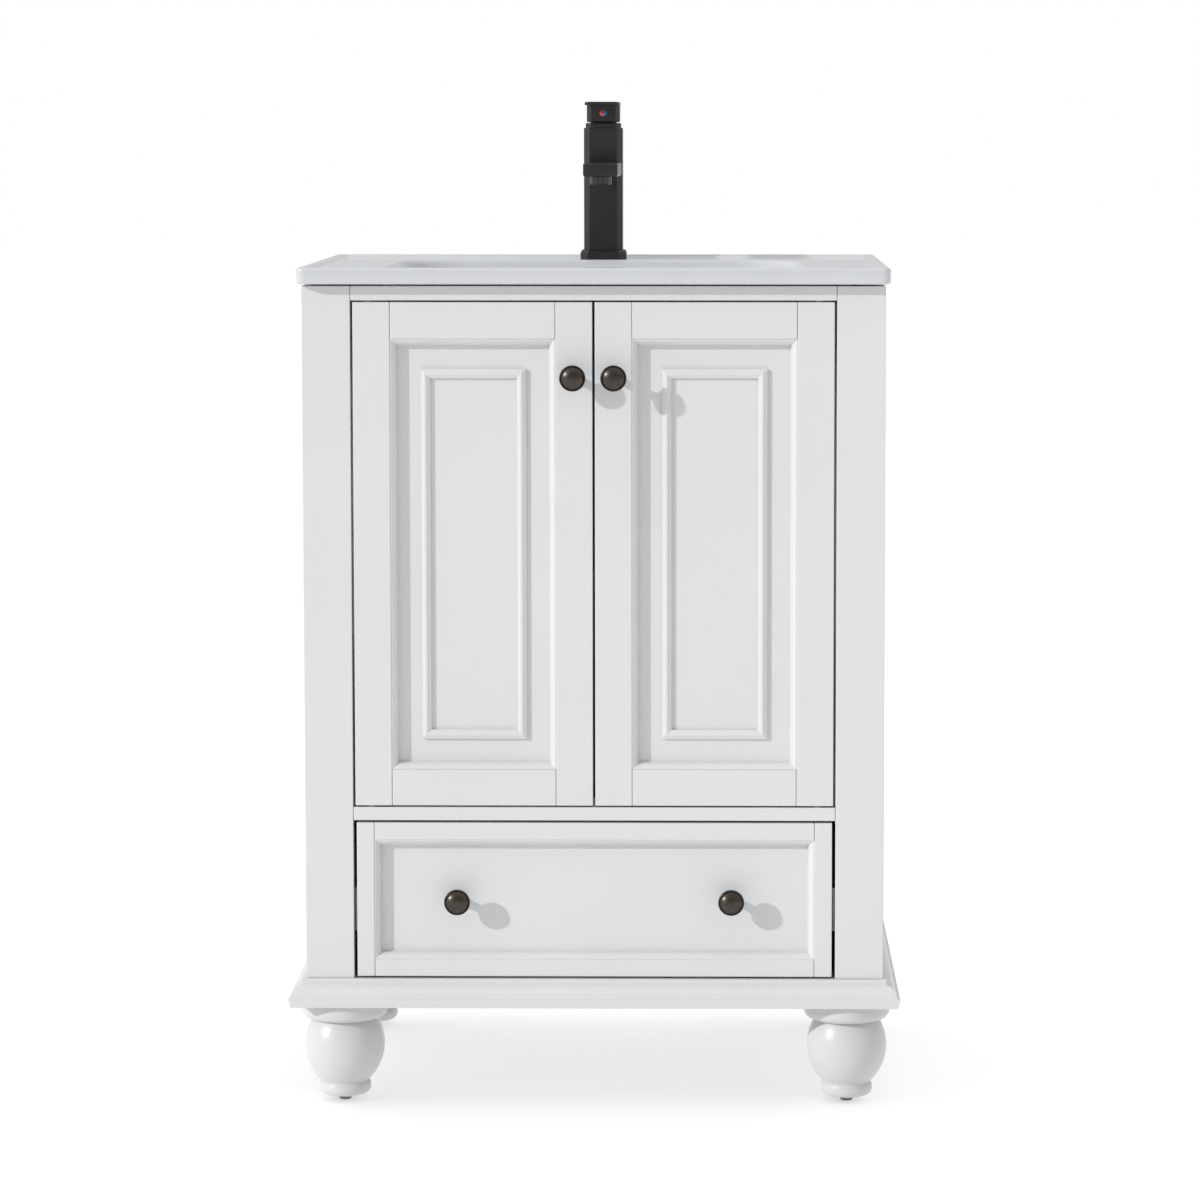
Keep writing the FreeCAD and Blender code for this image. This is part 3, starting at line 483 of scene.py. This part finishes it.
# body, node, finish, and how much is taken off both ends, the bottom and the top
boards = {
    "frontPosts": ("root", "posts_front", "white_paint", (0, 0, 0)),
    "rearPosts": ("root", "posts_rear", "white_paint", (0, 0, 0)),
    "sideRails": ("root", "side_rails", "white_paint", (0, 0, 0)),
    "topRail": ("root", "top_rail", "white_paint", (joint, flush, 0)),
    "middleRail": ("root", "middle_rail", "white_paint", (joint, 0, flush)),
    "doorLeftStiles": ("door_left", "door_left_stiles", "white_paint", (0, flush, flush)),
    "doorLeftRails": ("door_left", "door_left_rails", "white_paint", (joint, flush, flush)),
    "doorRightStiles": ("door_right", "door_right_stiles", "white_paint", (0, flush, flush)),
    "doorRightRails": ("door_right", "door_right_rails", "white_paint", (joint, flush, flush)),
    "drawerStiles": ("drawer", "drawer_front_stiles", "white_paint", (0, 0, 0)),
    "drawerRails": ("drawer", "drawer_front_rails", "white_paint", (joint, 0, 0)),
    "runnerCleats": ("root", "runner_cleats", "inner_board", (0, 0, 0)),
    "drawerBottom": ("drawer", "drawer_bottom", "drawer_wood", (0, 0, 0)),
}
for name, (body, node, slot, (ends, under, over)) in boards.items():
    shells = [easedBoard(low + (ends, 0, under), high - (ends, 0, over)) for low, high in solidsOf(node)]
    makePiece(name, shells, finishes[slot], body, [node])
print("boards made")

# Thin black rubber strips in the gap between the doors, one at the back edge and one half way, keep light
# from passing; they are also painted shade, dark sheets that make the gap read dark. Body, the strip's two
# sides, and its depth behind the doors' face.
gapShadeStrips = {
    "doorLeftSeal": ("door_left", -1.3 * mm, -0.3 * mm, 18.0 * mm),
    "doorRightSeal": ("door_right", 0, 1.3 * mm, 7.5 * mm),
}
shadeStrip = {"thick": 1.6 * mm, "short": 6 * mm, "ease": 0.2 * mm}
for name, (body, near, far, depth) in gapShadeStrips.items():
    low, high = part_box(body + "_stiles")
    face = low[1] + depth
    shell = easedBoard((near, face, low[2] + shadeStrip["short"]),
                       (far, face + shadeStrip["thick"], high[2] - shadeStrip["short"]), shadeStrip["ease"])
    makePiece(name, [shell], finishes["rubber_part"], body, [])
print("seals made")

panelSection = {
    "recess": 12 * mm, "back": 20 * mm, "lip": 0.8 * mm, "lipWide": 1.2 * mm, "moulding": 7 * mm,
    "quirk": 0.6 * mm, "quirkDeep": 10.4 * mm, "belly": 1.5 * mm, "beadInset": 31 * mm, "beadWide": 9.4 * mm,
    "beadFoot": 8.6 * mm, "beadShoulder": 1.0 * mm, "beadCrown": 1.8 * mm, "soft": 0.22 * mm,
    "field": 2 * mm, "steps": 9, "smooth": 30,
}


# A panel as nested rectangles: each point of the section is an inset from the edge and a depth behind the
# frame's face, so the moulding and the bead keep their mitred corners.
def sunkPanel(halfWide, halfHigh, bead):
    s = panelSection
    ovolo = bowed((s["lipWide"], s["lip"]), (s["moulding"] - s["quirk"], s["quirkDeep"]), s["belly"],
                  s["steps"])
    line = [(0, s["back"], 0), (0, s["lip"], 1)] + [(*spot, 0) for spot in ovolo]
    line += [(s["moulding"], s["quirkDeep"], 1), (s["moulding"], s["recess"], 1)]
    if bead:
        near, far = s["beadInset"], s["beadInset"] + s["beadWide"]
        crown = bowed((near + s["beadShoulder"], s["beadFoot"]), (far - s["beadShoulder"], s["beadFoot"]),
                      s["beadCrown"], s["steps"])
        line += [(near, s["recess"], 1), (near, s["beadFoot"], 1)] + [(*spot, 0) for spot in crown]
        line += [(far, s["beadFoot"], 1), (far, s["recess"], 1)]
    line.append((line[-1][0] + s["field"], s["recess"], 0))
    key = [lifted(boxLoop(halfWide - inset, halfHigh - inset), -depth) for inset, depth, _ in line]
    return easedRings(key, [soft * s["soft"] for _, _, soft in line], 2)


# A front panel fills its node's box; the frame's face is the section's depth before the panel's back.
def panelPiece(name, node, body, bead):
    low, high, middle, half = boxOf(node)
    face = high[1] - panelSection["back"]
    rings = placed(sunkPanel(half[0], half[2], bead), (middle[0], face, middle[2]))
    makePiece(name, [skin(rings, mitred=True)], finishes["white_paint"], body, [node],
              panelSection["smooth"])


panelPiece("doorLeftPanel", "door_left_panel", "door_left", True)
panelPiece("doorRightPanel", "door_right_panel", "door_right", True)
panelPiece("drawerPanel", "drawer_front_panel", "drawer", False)

sideShells = []
for low, high in solidsOf("side_panels"):
    middle = (low + high) / 2
    side = np.sign(middle[0])
    rings = sunkPanel((high[1] - low[1]) / 2, (high[2] - low[2]) / 2, False)
    face = (high[0] if side > 0 else low[0]) + side * panelSection["lip"]
    sideShells.append(skin(placed(rings, (face, middle[1], middle[2]), (0, 1, 0), (0, 0, 1), (side, 0, 0)),
                           mitred=True))
makePiece("sidePanels", sideShells, finishes["white_paint"], "root", ["side_panels"],
          panelSection["smooth"])
print("panels made")

plinthSection = {
    "inner": 10 * mm, "fascia": 9.5 * mm, "ogeeTop": 13.5 * mm, "ogeeOut": 13.4 * mm, "coveLow": 14.1 * mm,
    "coveTop": 22.5 * mm, "coveOut": 6.0 * mm, "filletTop": 23.3 * mm, "filletOut": 3.6 * mm,
    "hollow": 1.3 * mm, "round": 1.1 * mm, "joint": 0.06 * mm, "lean": 2.2 * mm, "soft": 0.35 * mm,
    "smooth": 30,
}
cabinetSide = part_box("posts_front")[1][0]
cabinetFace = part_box("posts_front")[0][1]
plinthLow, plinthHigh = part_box("plinth_front")
plinthOut = plinthHigh[0] - cabinetSide


# The plinth's section as offsets out from the cabinet and heights above the plinth's foot: a leaning fascia,
# a round, a hollow and a fillet.
def plinthProfile():
    s = plinthSection
    high = plinthHigh[2] - plinthLow[2]
    ogee = bowed((plinthOut, s["fascia"]), (s["ogeeOut"], s["ogeeTop"]), -s["round"], 5)
    cove = bowed((s["ogeeOut"], s["coveLow"]), (s["coveOut"], s["coveTop"]), s["hollow"], 8)
    return np.array([(-s["inner"], 0), (plinthOut - s["lean"], 0), *ogee, *cove,
                     (s["filletOut"], s["filletTop"]), (s["filletOut"], high), (-s["inner"], high)])


profile = easedLoop(plinthProfile(), plinthSection["soft"], 2)
out, rise = profile[:, 0], profile[:, 1] + plinthLow[2]
gap = plinthSection["joint"]
leftEnd = np.column_stack([-(cabinetSide + out) + gap, cabinetFace - out, rise])
rightEnd = leftEnd * (-1, 1, 1)
makePiece("plinthFront", [skin(np.stack([leftEnd, rightEnd]))], finishes["white_paint"], "root",
          ["plinth_front"], plinthSection["smooth"])
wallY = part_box("plinth_sides")[1][1]
sides = []
for side in (-1, 1):
    corner = np.column_stack([side * (cabinetSide + out), cabinetFace - out + gap, rise])
    rear = np.column_stack([side * (cabinetSide + out), np.full(len(out), wallY), rise])
    sides.append(skin(np.stack([corner, rear])))
makePiece("plinthReturns", sides, finishes["white_paint"], "root", ["plinth_sides"],
          plinthSection["smooth"])
print("plinth made")

# A foot in millimetres: a ring below, then a ball of radius out + sqrt(round^2 - (height - rise)^2), then a
# disc whose lower edge is a quarter round.
foot = {
    "ring": [(17.0, 6.3), (21.8, 6.9), (25.0, 8.9), (26.8, 12.2), (27.1, 15.8), (26.6, 18.6), (25.2, 20.6)],
    "ballLow": 22.0, "ballTop": 88.0, "ballMiddle": (-9.9, 59.8), "ballRound": 51.75,
    "discLow": 88.4, "discRound": 9.0, "discOut": 45.0, "bore": 4.3, "low": 6.3, "top": 107.5,
    "sides": 96, "smooth": 42,
}
ballHeight = np.linspace(foot["ballLow"], foot["ballTop"], 40)
ballOut, ballRise = foot["ballMiddle"]
ballRadius = ballOut + np.sqrt(foot["ballRound"] ** 2 - (ballHeight - ballRise) ** 2)
turn = np.linspace(-90, 0, 9)
discRadius = foot["discOut"] - foot["discRound"] * (1 - np.cos(np.radians(turn)))
discHeight = foot["discLow"] + foot["discRound"] * (1 + np.sin(np.radians(turn)))
profile = np.vstack([[(foot["bore"], foot["low"])], curveThrough(foot["ring"], 4),
                     np.column_stack([ballRadius, ballHeight]), np.column_stack([discRadius, discHeight]),
                     [(foot["discOut"], foot["top"])], [(foot["bore"], foot["top"])]]) * mm
rings = turned(profile, 0.0, foot["sides"])
footShells = []
for low, high in solidsOf("bun_feet"):
    centre = (low + high) / 2
    footShells.append(skin(rings + (centre[0], centre[1], 0)))
# the feet wear the darker paint, painted shade for their place under the plinth
makePiece("bunFeet", footShells, finishes["feet_paint"], "root", ["bun_feet"], foot["smooth"])

# A levelling glide in millimetres: a pad under a stem, with how far each corner is eased.
glide = {
    "line": [(0.2, 0), (5.4, 0), (6.7, 1.1), (6.7, 5.1), (4.0, 5.1), (4.0, 36), (0.2, 36)],
    "ease": [0, 0.5, 0.5, 0.4, 0.2, 0.4, 0], "sides": 48,
}
rings = turned(np.array(glide["line"]) * mm, np.array(glide["ease"]) * mm, glide["sides"])
for corner in ("front_left", "front_right", "rear_left", "rear_right"):
    node = "leveller_" + corner
    centre = boxOf(node)[2]
    makePiece("glide" + corner.title().replace("_", ""), [skin(rings + (centre[0], centre[1], 0))],
              finishes["nylon"], node, [node])
print("feet made")

# A knob in millimetres from the door's face outwards: radius and distance.
knob = {
    "neck": [(6.4, 0.0), (6.5, 1.2), (5.9, 2.0), (4.8, 3.2), (4.5, 6.0), (4.5, 12.0), (4.8, 15.0),
             (6.4, 17.4), (9.4, 19.3), (12.4, 20.6)],
    "lip": [(13.3, 21.4), (13.5, 22.6), (13.4, 24.0), (12.9, 24.7), (12.4, 24.75), (12.0, 24.4)],
    "dome": [(11.6, 24.9), (10.6, 26.5), (8.7, 27.9), (6.1, 29.1), (3.1, 29.8), (0.3, 30.0)],
    "axis": 0.3, "sides": 72, "smooth": 50,
}
knobLine = np.vstack([[(knob["axis"], 0.0)], curveThrough(knob["neck"], 4), curveThrough(knob["lip"], 4),
                      curveThrough(knob["dome"], 5)]) * mm
knobRings = turned(knobLine, 0.0, knob["sides"])


# The same turned knob on each of the node's solids, its foot a knob's length behind the solid's front.
def knobPiece(name, node, body):
    shells = []
    for low, high in solidsOf(node):
        middle = (low + high) / 2
        face = low[1] + knobLine[-1, 1]
        shells.append(skin(placed(knobRings, (middle[0], face, middle[2]))))
    makePiece(name, shells, finishes["bronze"], body, [node], knob["smooth"])


knobPiece("doorLeftKnob", "door_left_knob", "door_left")
knobPiece("doorRightKnob", "door_right_knob", "door_right")
knobPiece("drawerKnobs", "drawer_knobs", "drawer")
print("knobs made")

drawerBox = {"board": 12 * mm, "chamfer": 1.2 * mm}
low, high = map(np.array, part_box("drawer_box"))
thick = drawerBox["board"]
boxBoards = [(low, (low[0] + thick, high[1], high[2])), ((high[0] - thick, low[1], low[2]), high)]
for y in (low[1], high[1] - thick):
    boxBoards.append(((low[0] + thick, y, low[2]), (high[0] - thick, y + thick, high[2])))
makePiece("drawerBox", [easedBoard(a, b, drawerBox["chamfer"]) for a, b in boxBoards],
          finishes["drawer_wood"], "drawer", ["drawer_box"])
print("drawer box made")

# The ceramic top and its bowl. Names that end in Ease say how far the corner of the section is rounded.
bowl = {
    "mouthHalf": (220 * mm, 145 * mm), "mouthMiddle": (0, -15 * mm), "mouthCorner": 75 * mm,
    "baseHalf": (158 * mm, 93 * mm), "baseCorner": 68 * mm, "wall": 10 * mm, "floor": 760 * mm,
    "drain": 22.5 * mm, "slab": 17 * mm, "rim": 12 * mm, "deck": 872 * mm, "frontCorner": 11 * mm,
    "rearCorner": 3 * mm, "leastCorner": 1.5 * mm, "undercut": 5 * mm, "rimFlat": 1.5 * mm,
    "rimSlope": 3.5 * mm, "thinner": 4 * mm, "fall": 2 * mm, "drainWide": 11 * mm, "drainFall": 0.3 * mm,
    "baseEase": 26 * mm, "neckEase": 7 * mm, "lowEase": 3.6 * mm, "edgeEase": 4.6 * mm, "rimEase": 3.2 * mm,
    "deckEase": 3.6 * mm, "mouthEase": 5 * mm, "floorEase": 38 * mm, "drainEase": 3 * mm,
    "holeEase": 0.4 * mm, "steps": 16, "smooth": 60,
}
basinHigh, basinMiddle, basinHalf = boxOf("basin")[1:]
slabLow = basinHigh[2] - bowl["slab"]


# Every ring of the top has as many points as the next, so outline, rim, deck, bowl and drain can be joined.
# This one is the top's outline, grown by grow, with its corners eased.
def topRing(grow, height):
    ease = np.array([bowl["frontCorner"], bowl["rearCorner"], bowl["rearCorner"], bowl["frontCorner"]])
    loop = boxLoop(*(basinHalf[:2] + grow), middle=basinMiddle[:2])
    return lifted(easedLoop(loop, np.maximum(ease + grow, bowl["leastCorner"]), bowl["steps"]), height)


# A rectangle about the bowl's middle, grown by grow, with its corners eased.
def bowlRing(half, corner, height, grow=0.0):
    loop = boxLoop(half[0] + grow, half[1] + grow, middle=bowl["mouthMiddle"])
    return lifted(easedLoop(loop, corner + grow, bowl["steps"]), height)


# A circle (x + r cos a, y + r sin a) about the bowl's middle; each quarter has an eased corner's points.
def drainRing(radius, height):
    quarter = np.linspace(-90, 0, bowl["steps"] + 2)[:-1]
    angle = np.radians(np.concatenate([quarter + turn for turn in (0, 90, 180, 270)]))
    x, y = bowl["mouthMiddle"]
    return lifted(np.column_stack([x + radius * np.cos(angle), y + radius * np.sin(angle)]), height)


b = bowl
keyRings = [
    (drainRing(b["drain"], b["floor"] - b["wall"]), 0),
    (bowlRing(b["baseHalf"], b["baseCorner"], b["floor"] - b["wall"], b["wall"] - b["thinner"]),
     b["baseEase"]),
    (bowlRing(b["mouthHalf"], b["mouthCorner"], slabLow, b["wall"]), b["neckEase"]),
    (topRing(-b["undercut"], slabLow), 0),
    (topRing(0, slabLow), b["lowEase"]),
    (topRing(0, basinHigh[2]), b["edgeEase"]),
    (topRing(-b["rim"] + b["rimFlat"], basinHigh[2]), b["rimEase"]),
    (topRing(-b["rim"] - b["rimSlope"], b["deck"]), b["deckEase"]),
    (bowlRing(b["mouthHalf"], b["mouthCorner"], b["deck"]), b["mouthEase"]),
    (bowlRing(b["baseHalf"], b["baseCorner"], b["floor"] + b["fall"]), b["floorEase"]),
    (drainRing(b["drain"] + b["drainWide"], b["floor"] + b["drainFall"]), b["drainEase"]),
    (drainRing(b["drain"], b["floor"]), b["holeEase"]),
    (drainRing(b["drain"], b["floor"] - b["wall"]), 0),
]
rings = easedRings([ring for ring, _ in keyRings], [ease for _, ease in keyRings], 8)[:-1]
makePiece("ceramicTop", [skin(rings, ends=False)], finishes["ceramic_glaze"], "root", ["basin"],
          b["smooth"])

# The plug in millimetres: a stem under a head whose radius and height end at the crown.
plug = {
    "head": [(4.0, 26.0), (14.0, 32.0), (16.0, 33.6), (27.0, 33.6), (28.0, 34.6), (27.4, 35.6), (22.0, 37.4),
             (15.0, 38.9), (8.0, 39.8), (0.3, 40.0)],
    "axis": 0.3, "stem": 4, "crown": 40, "soft": 0.5, "sides": 72, "smooth": 45,
}
low, high, middle, half = boxOf("drain_plug")
head = np.array(plug["head"]) * mm + (0, high[2] - plug["crown"] * mm)
plugLine = np.vstack([[(plug["axis"] * mm, low[2])], [(plug["stem"] * mm, low[2])], head])
rings = turned(plugLine, plug["soft"] * mm, plug["sides"]) + (middle[0], middle[1], 0)
makePiece("drainPlug", [skin(rings)], finishes["drain_metal"], "drain_plug", ["drain_plug"],
          plug["smooth"])
print("ceramic top made")


# Chamfered outlines stacked upwards between heights, drawn in by an inset at each; the chamfer shrinks by
# 0.4 of the inset, and its two corners are rounded a little.
def tower(half, middle, chamfer, levels, soft):
    key = []
    for inset, height in levels:
        loop = boxLoop(half[0] - inset, half[1] - inset, max(chamfer - 0.4 * inset, 1 * mm), middle)
        key.append(lifted(easedLoop(loop, 0.9 * mm, 2), height))
    return easedRings(key, soft)


mixerPlate = {
    "chamfer": 8 * mm, "foot": 3 * mm, "edge": 2.6 * mm, "slope": 1.8 * mm, "flat": 5 * mm,
    "soft": [0, 0.3 * mm, 0.8 * mm, 0.8 * mm, 0], "smooth": 30,
}
low, high, middle, half = boxOf("faucet_base_plate")
levels = [(mixerPlate["foot"], low[2]), (0, low[2]), (0, high[2] - mixerPlate["edge"]),
          (mixerPlate["slope"], high[2]), (mixerPlate["flat"], high[2])]
rings = tower(half[:2], middle[:2], mixerPlate["chamfer"], levels, mixerPlate["soft"])
makePiece("mixerPlate", [skin(rings)], finishes["black_finish"], "root", ["faucet_base_plate"],
          mixerPlate["smooth"])

# The body narrows to a collar, and a round boss on top of it closes the gap under the handle.
mixerBody = {
    "chamfer": 6 * mm, "foot": 3 * mm, "collarHigh": 5.5 * mm, "collarIn": 2.0 * mm, "flat": 9 * mm,
    "soft": [0, 0.3 * mm, 0.7 * mm, 0.3 * mm, 1.6 * mm, 0], "smooth": 30,
    "boss": [(0.2, -4), (14.8, -4), (14.8, 1.7), (0.2, 1.7)], "bossEase": [0, 0, 0.4, 0], "bossSides": 48,
}
low, high, middle, half = boxOf("faucet_body")
neck, collarIn = high[2] - mixerBody["collarHigh"], mixerBody["collarIn"]
levels = [(mixerBody["foot"], low[2]), (0, low[2]), (0, neck), (collarIn, neck), (collarIn, high[2]),
          (mixerBody["flat"], high[2])]
rings = tower(half[:2], middle[:2], mixerBody["chamfer"], levels, mixerBody["soft"])
boss = turned(np.array(mixerBody["boss"]) * mm, np.array(mixerBody["bossEase"]) * mm, mixerBody["bossSides"])
boss = boss + (middle[0], middle[1], high[2])
makePiece("mixerBody", [skin(rings), skin(boss)], finishes["black_finish"], "root", ["faucet_body"],
          mixerBody["smooth"])

# The spout is a stack of upright sections from root to nose; its sides draw together in proportion to the
# reach, and its nose is bowed by bow * reach^3 * (x / half)^2.
spout = {
    "taper": 1.6 * mm, "corners": [2.6 * mm, 1.2 * mm, 1.2 * mm, 2.6 * mm], "noseIn": (3 * mm, 2.5 * mm),
    "noseCorner": 1 * mm, "nose": 2.4 * mm, "bow": 2.2 * mm, "sections": 7, "smooth": 35,
}
low, high, middle, half = boxOf("faucet_spout")
long = high[1] - low[1]
sections = []
for reach in np.linspace(0, 1, spout["sections"]):
    loop = boxLoop(half[0] - spout["taper"] * reach, half[2])
    sections.append(lifted(easedLoop(loop, spout["corners"], 3), long * reach))
loop = boxLoop(half[0] - spout["taper"] - spout["noseIn"][0], half[2] - spout["noseIn"][1])
sections.append(lifted(easedLoop(loop, spout["noseCorner"], 3), long))
rings = easedRings(sections, [0] * (spout["sections"] - 1) + [spout["nose"], 0], 4)
rings = placed(rings, (middle[0], high[1], middle[2]))
share = np.clip((high[1] - rings[..., 1]) / long, 0, 1)
rings[..., 1] += share ** 3 * spout["bow"] * ((rings[..., 0] - middle[0]) / half[0]) ** 2
makePiece("mixerSpout", [skin(rings)], finishes["black_finish"], "root", ["faucet_spout"],
          spout["smooth"])

# The aerator in millimetres from its mouth upwards: a grooved rim, and a barrel with finger ribs.
aerator = {
    "line": [(6.0, 0.0), (9.0, 0.0), (9.4, 1.2), (9.8, 0.0), (11.2, 0.0), (12.0, 0.9), (12.0, 8.5), (9, 8.5),
             (6.0, 8.5)],
    "ease": [0, 0.2, 0.2, 0.2, 0.4, 0.4, 0.2, 0, 0], "sides": 144, "ribs": 12, "ribDeep": 0.05,
    "ribTop": 7.4, "smooth": 40,
}


# The radius drops by ribDeep where the clipped cosine of ribs * angle is high, below ribTop.
def ribbed(angle, height):
    groove = np.clip(np.cos(angle * aerator["ribs"]) * 3, -1, 1) * 0.5 + 0.5
    return 1 - aerator["ribDeep"] * groove * (height < aerator["ribTop"] * mm)


low, high, middle, half = boxOf("faucet_aerator")
rings = turned(np.array(aerator["line"]) * mm, np.array(aerator["ease"]) * mm, aerator["sides"], ribbed)
makePiece("mixerAerator", [skin(rings + (middle[0], middle[1], low[2]))], finishes["aerator_black"], "root",
          ["faucet_aerator"], aerator["smooth"])

# The handle: a chamfered block, hollowed below for the boss, under a thin lever with a slight crown of
# crown * (1 - (x / half)^2).
handle = {
    "blockHalf": (18.3 * mm, 19.5 * mm), "blockChamfer": 4.5 * mm, "hollow": 2.4 * mm, "lipIn": 0.8 * mm,
    "lipHigh": 1.2 * mm, "blockSoft": [0, 0.2 * mm, 0.5 * mm, 0.6 * mm, 0, 0], "capIn": 2 * mm,
    "capHigh": 0.5 * mm, "leverThick": 3.4 * mm, "leverChamfer": 3 * mm, "leverFlat": 3 * mm,
    "leverCorner": 0.8 * mm, "leverSoft": [0, 0.5 * mm, 1.0 * mm, 0], "crown": 0.7 * mm, "smooth": 32,
}
low, high, middle, half = boxOf("faucet_handle")
axisY = boxOf("faucet_spindle")[2][1]
leverTop = high[2] - handle["crown"]
leverLow = high[2] - handle["leverThick"] - handle["crown"]
hollow, flat = handle["hollow"], handle["leverFlat"]
levels = [(hollow, low[2] + hollow), (hollow, low[2]), (handle["lipIn"], low[2]),
          (0, low[2] + handle["lipHigh"]), (0, leverLow), (handle["capIn"], leverLow + handle["capHigh"])]
block = tower(handle["blockHalf"], (middle[0], axisY), handle["blockChamfer"], levels, handle["blockSoft"])
edge = []
for inset, height in ((flat, leverLow), (0, leverLow), (0, leverTop), (flat, leverTop)):
    loop = boxLoop(half[0] - inset, half[1] - inset, handle["leverChamfer"], middle[:2])
    edge.append(lifted(easedLoop(loop, handle["leverCorner"], 3), height))
lever = easedRings(edge, handle["leverSoft"])
lever[..., 2] += handle["crown"] * (1 - ((lever[..., 0] - middle[0]) / half[0]) ** 2)
makePiece("mixerHandle", [skin(block), skin(lever)], finishes["black_finish"], "mixer_handle",
          ["faucet_handle"], handle["smooth"])

# The index dot in millimetres: a low button that stands out from the handle's front.
indexDot = {
    "line": [(0.1, 0), (4.0, 0), (4.0, 0.55), (2.6, 0.95), (0.1, 1.05)], "ease": [0, 0, 0.3, 0.6, 0],
    "sides": 40, "smooth": 45,
}
low, high, middle, half = boxOf("faucet_index")
rings = turned(np.array(indexDot["line"]) * mm, np.array(indexDot["ease"]) * mm, indexDot["sides"])
makePiece("indexDot", [skin(placed(rings, (middle[0], high[1], middle[2])))], finishes["index_enamel"],
          "mixer_handle", ["faucet_index"], indexDot["smooth"])
print("mixer made")

# CAD nodes that stay as they are get their slot's finish.
slotOf = {part["node"]: part["material_slot"] for part in frame["record"]["subparts"]}
for name, item in frame["nodes"].items():
    if not item.hide_render:
        for spot in item.material_slots:
            spot.material = finishes[slotOf[name]]
print("CAD nodes finished")

studio = {
    "floorSize": 60.0, "floorGlow": 0.36, "keyTravel": (40.7, 25.0, -20.6), "keyStrength": 2.0,
    "keyAngle": 1.6, "overhead": 1.0, "front": 0.30, "left": 0.86, "right": 0.74, "behind": 0.62,
    "floorCells": 8,
}
half, cells = studio["floorSize"] / 2, studio["floorCells"]
floorMesh = bpy.data.meshes.new("studioFloor")
grid = np.linspace(-half, half, cells + 1)
fx, fy = np.meshgrid(grid, grid, indexing="ij")
points = np.column_stack([fx.ravel(), fy.ravel(), np.full(fx.size, cadLow[2])])
i, j = np.meshgrid(np.arange(cells), np.arange(cells), indexing="ij")
corner = (i * (cells + 1) + j).ravel()
beyond = corner + cells + 1
floorMesh.from_pydata(points.tolist(), [], np.column_stack([corner, beyond, beyond + 1, corner + 1]).tolist())
floor = bpy.data.objects.new("studioFloor", floorMesh)
bpy.context.scene.collection.objects.link(floor)
material, r = newFinish("paleFloor")
close(r, {"Base Color": r.blend(r.between(r.noise(1.2, 2.0), 0.3, 0.7), tint(0.90, 0.90, 0.90),
                                tint(0.92, 0.92, 0.92)),
          "Roughness": 0.85 + 0.05 * r.noise(4.0), "Emission Color": tint(1, 1, 1),
          "Emission Strength": studio["floorGlow"]})
floorMesh.materials.append(material)

sun = bpy.data.lights.new("keyLight", "SUN")
sun.energy, sun.angle = studio["keyStrength"], math.radians(studio["keyAngle"])
key = bpy.data.objects.new("keyLight", sun)
bpy.context.scene.collection.objects.link(key)
key.rotation_mode = "QUATERNION"
key.rotation_quaternion = Vector(studio["keyTravel"]).to_track_quat("-Z", "Y")

unlit = bpy.data.collections.new("keyLeavesOut")    # the key light falls on the object and not on the floor
unlit.objects.link(floor)
unlit.collection_objects[0].light_linking.link_state = "EXCLUDE"
key.light_linking.receiver_collection = unlit

# The room's glow by direction, a sum of each side's strength times the squared cosine towards it: bright
# above and at the sides, dimmer from the front. The backdrop reads plain white.
world = bpy.data.worlds.new("studioGlow")
bpy.context.scene.world = world
world.use_nodes = True
r = Recipe(world.node_tree)
way = r.add("ShaderNodeTexCoord", out="Generated")
x, y, z = [r.add("ShaderNodeSeparateXYZ", {}, {0: way}, out=axis) for axis in "XYZ"]
up, leftward, rightward = z.atLeast(0.0), (0 - x).atLeast(0.0), x.atLeast(0.0)
toFront, toBack = (0 - y).atLeast(0.0), y.atLeast(0.0)
glow = (up * up * studio["overhead"] + leftward * leftward * studio["left"]
        + rightward * rightward * studio["right"] + toFront * toFront * studio["front"]
        + toBack * toBack * studio["behind"])
seen = r.add("ShaderNodeLightPath", out="Is Camera Ray")
lit = r.add("ShaderNodeBackground", {}, {"Color": tint(0.985, 0.993, 1.0), "Strength": glow})
plain = r.add("ShaderNodeBackground", {}, {"Color": tint(1, 1, 1), "Strength": 1.0})
both = r.add("ShaderNodeMixShader", {}, {0: seen, 1: lit, 2: plain})
r.add("ShaderNodeOutputWorld", {}, {"Surface": both})

view = bpy.context.scene.view_settings
view.view_transform, view.look = "Standard", "None"

camera = {
    "spot": (0.1267, -4.4, 1.0160), "pitch": 5.071, "yaw": 0.63, "lens": 122.64, "shift": (-0.06, -0.09),
    "sensor": 36.0,
}
lens = bpy.data.cameras.new("camera")
lens.sensor_width, lens.lens = camera["sensor"], camera["lens"]
lens.shift_x, lens.shift_y = camera["shift"]
eye = bpy.data.objects.new("camera", lens)
eye.location = camera["spot"]
eye.rotation_euler = (math.radians(90 - camera["pitch"]), 0, math.radians(camera["yaw"]))
bpy.context.scene.collection.objects.link(eye)
bpy.context.scene.camera = eye
print("studio made")
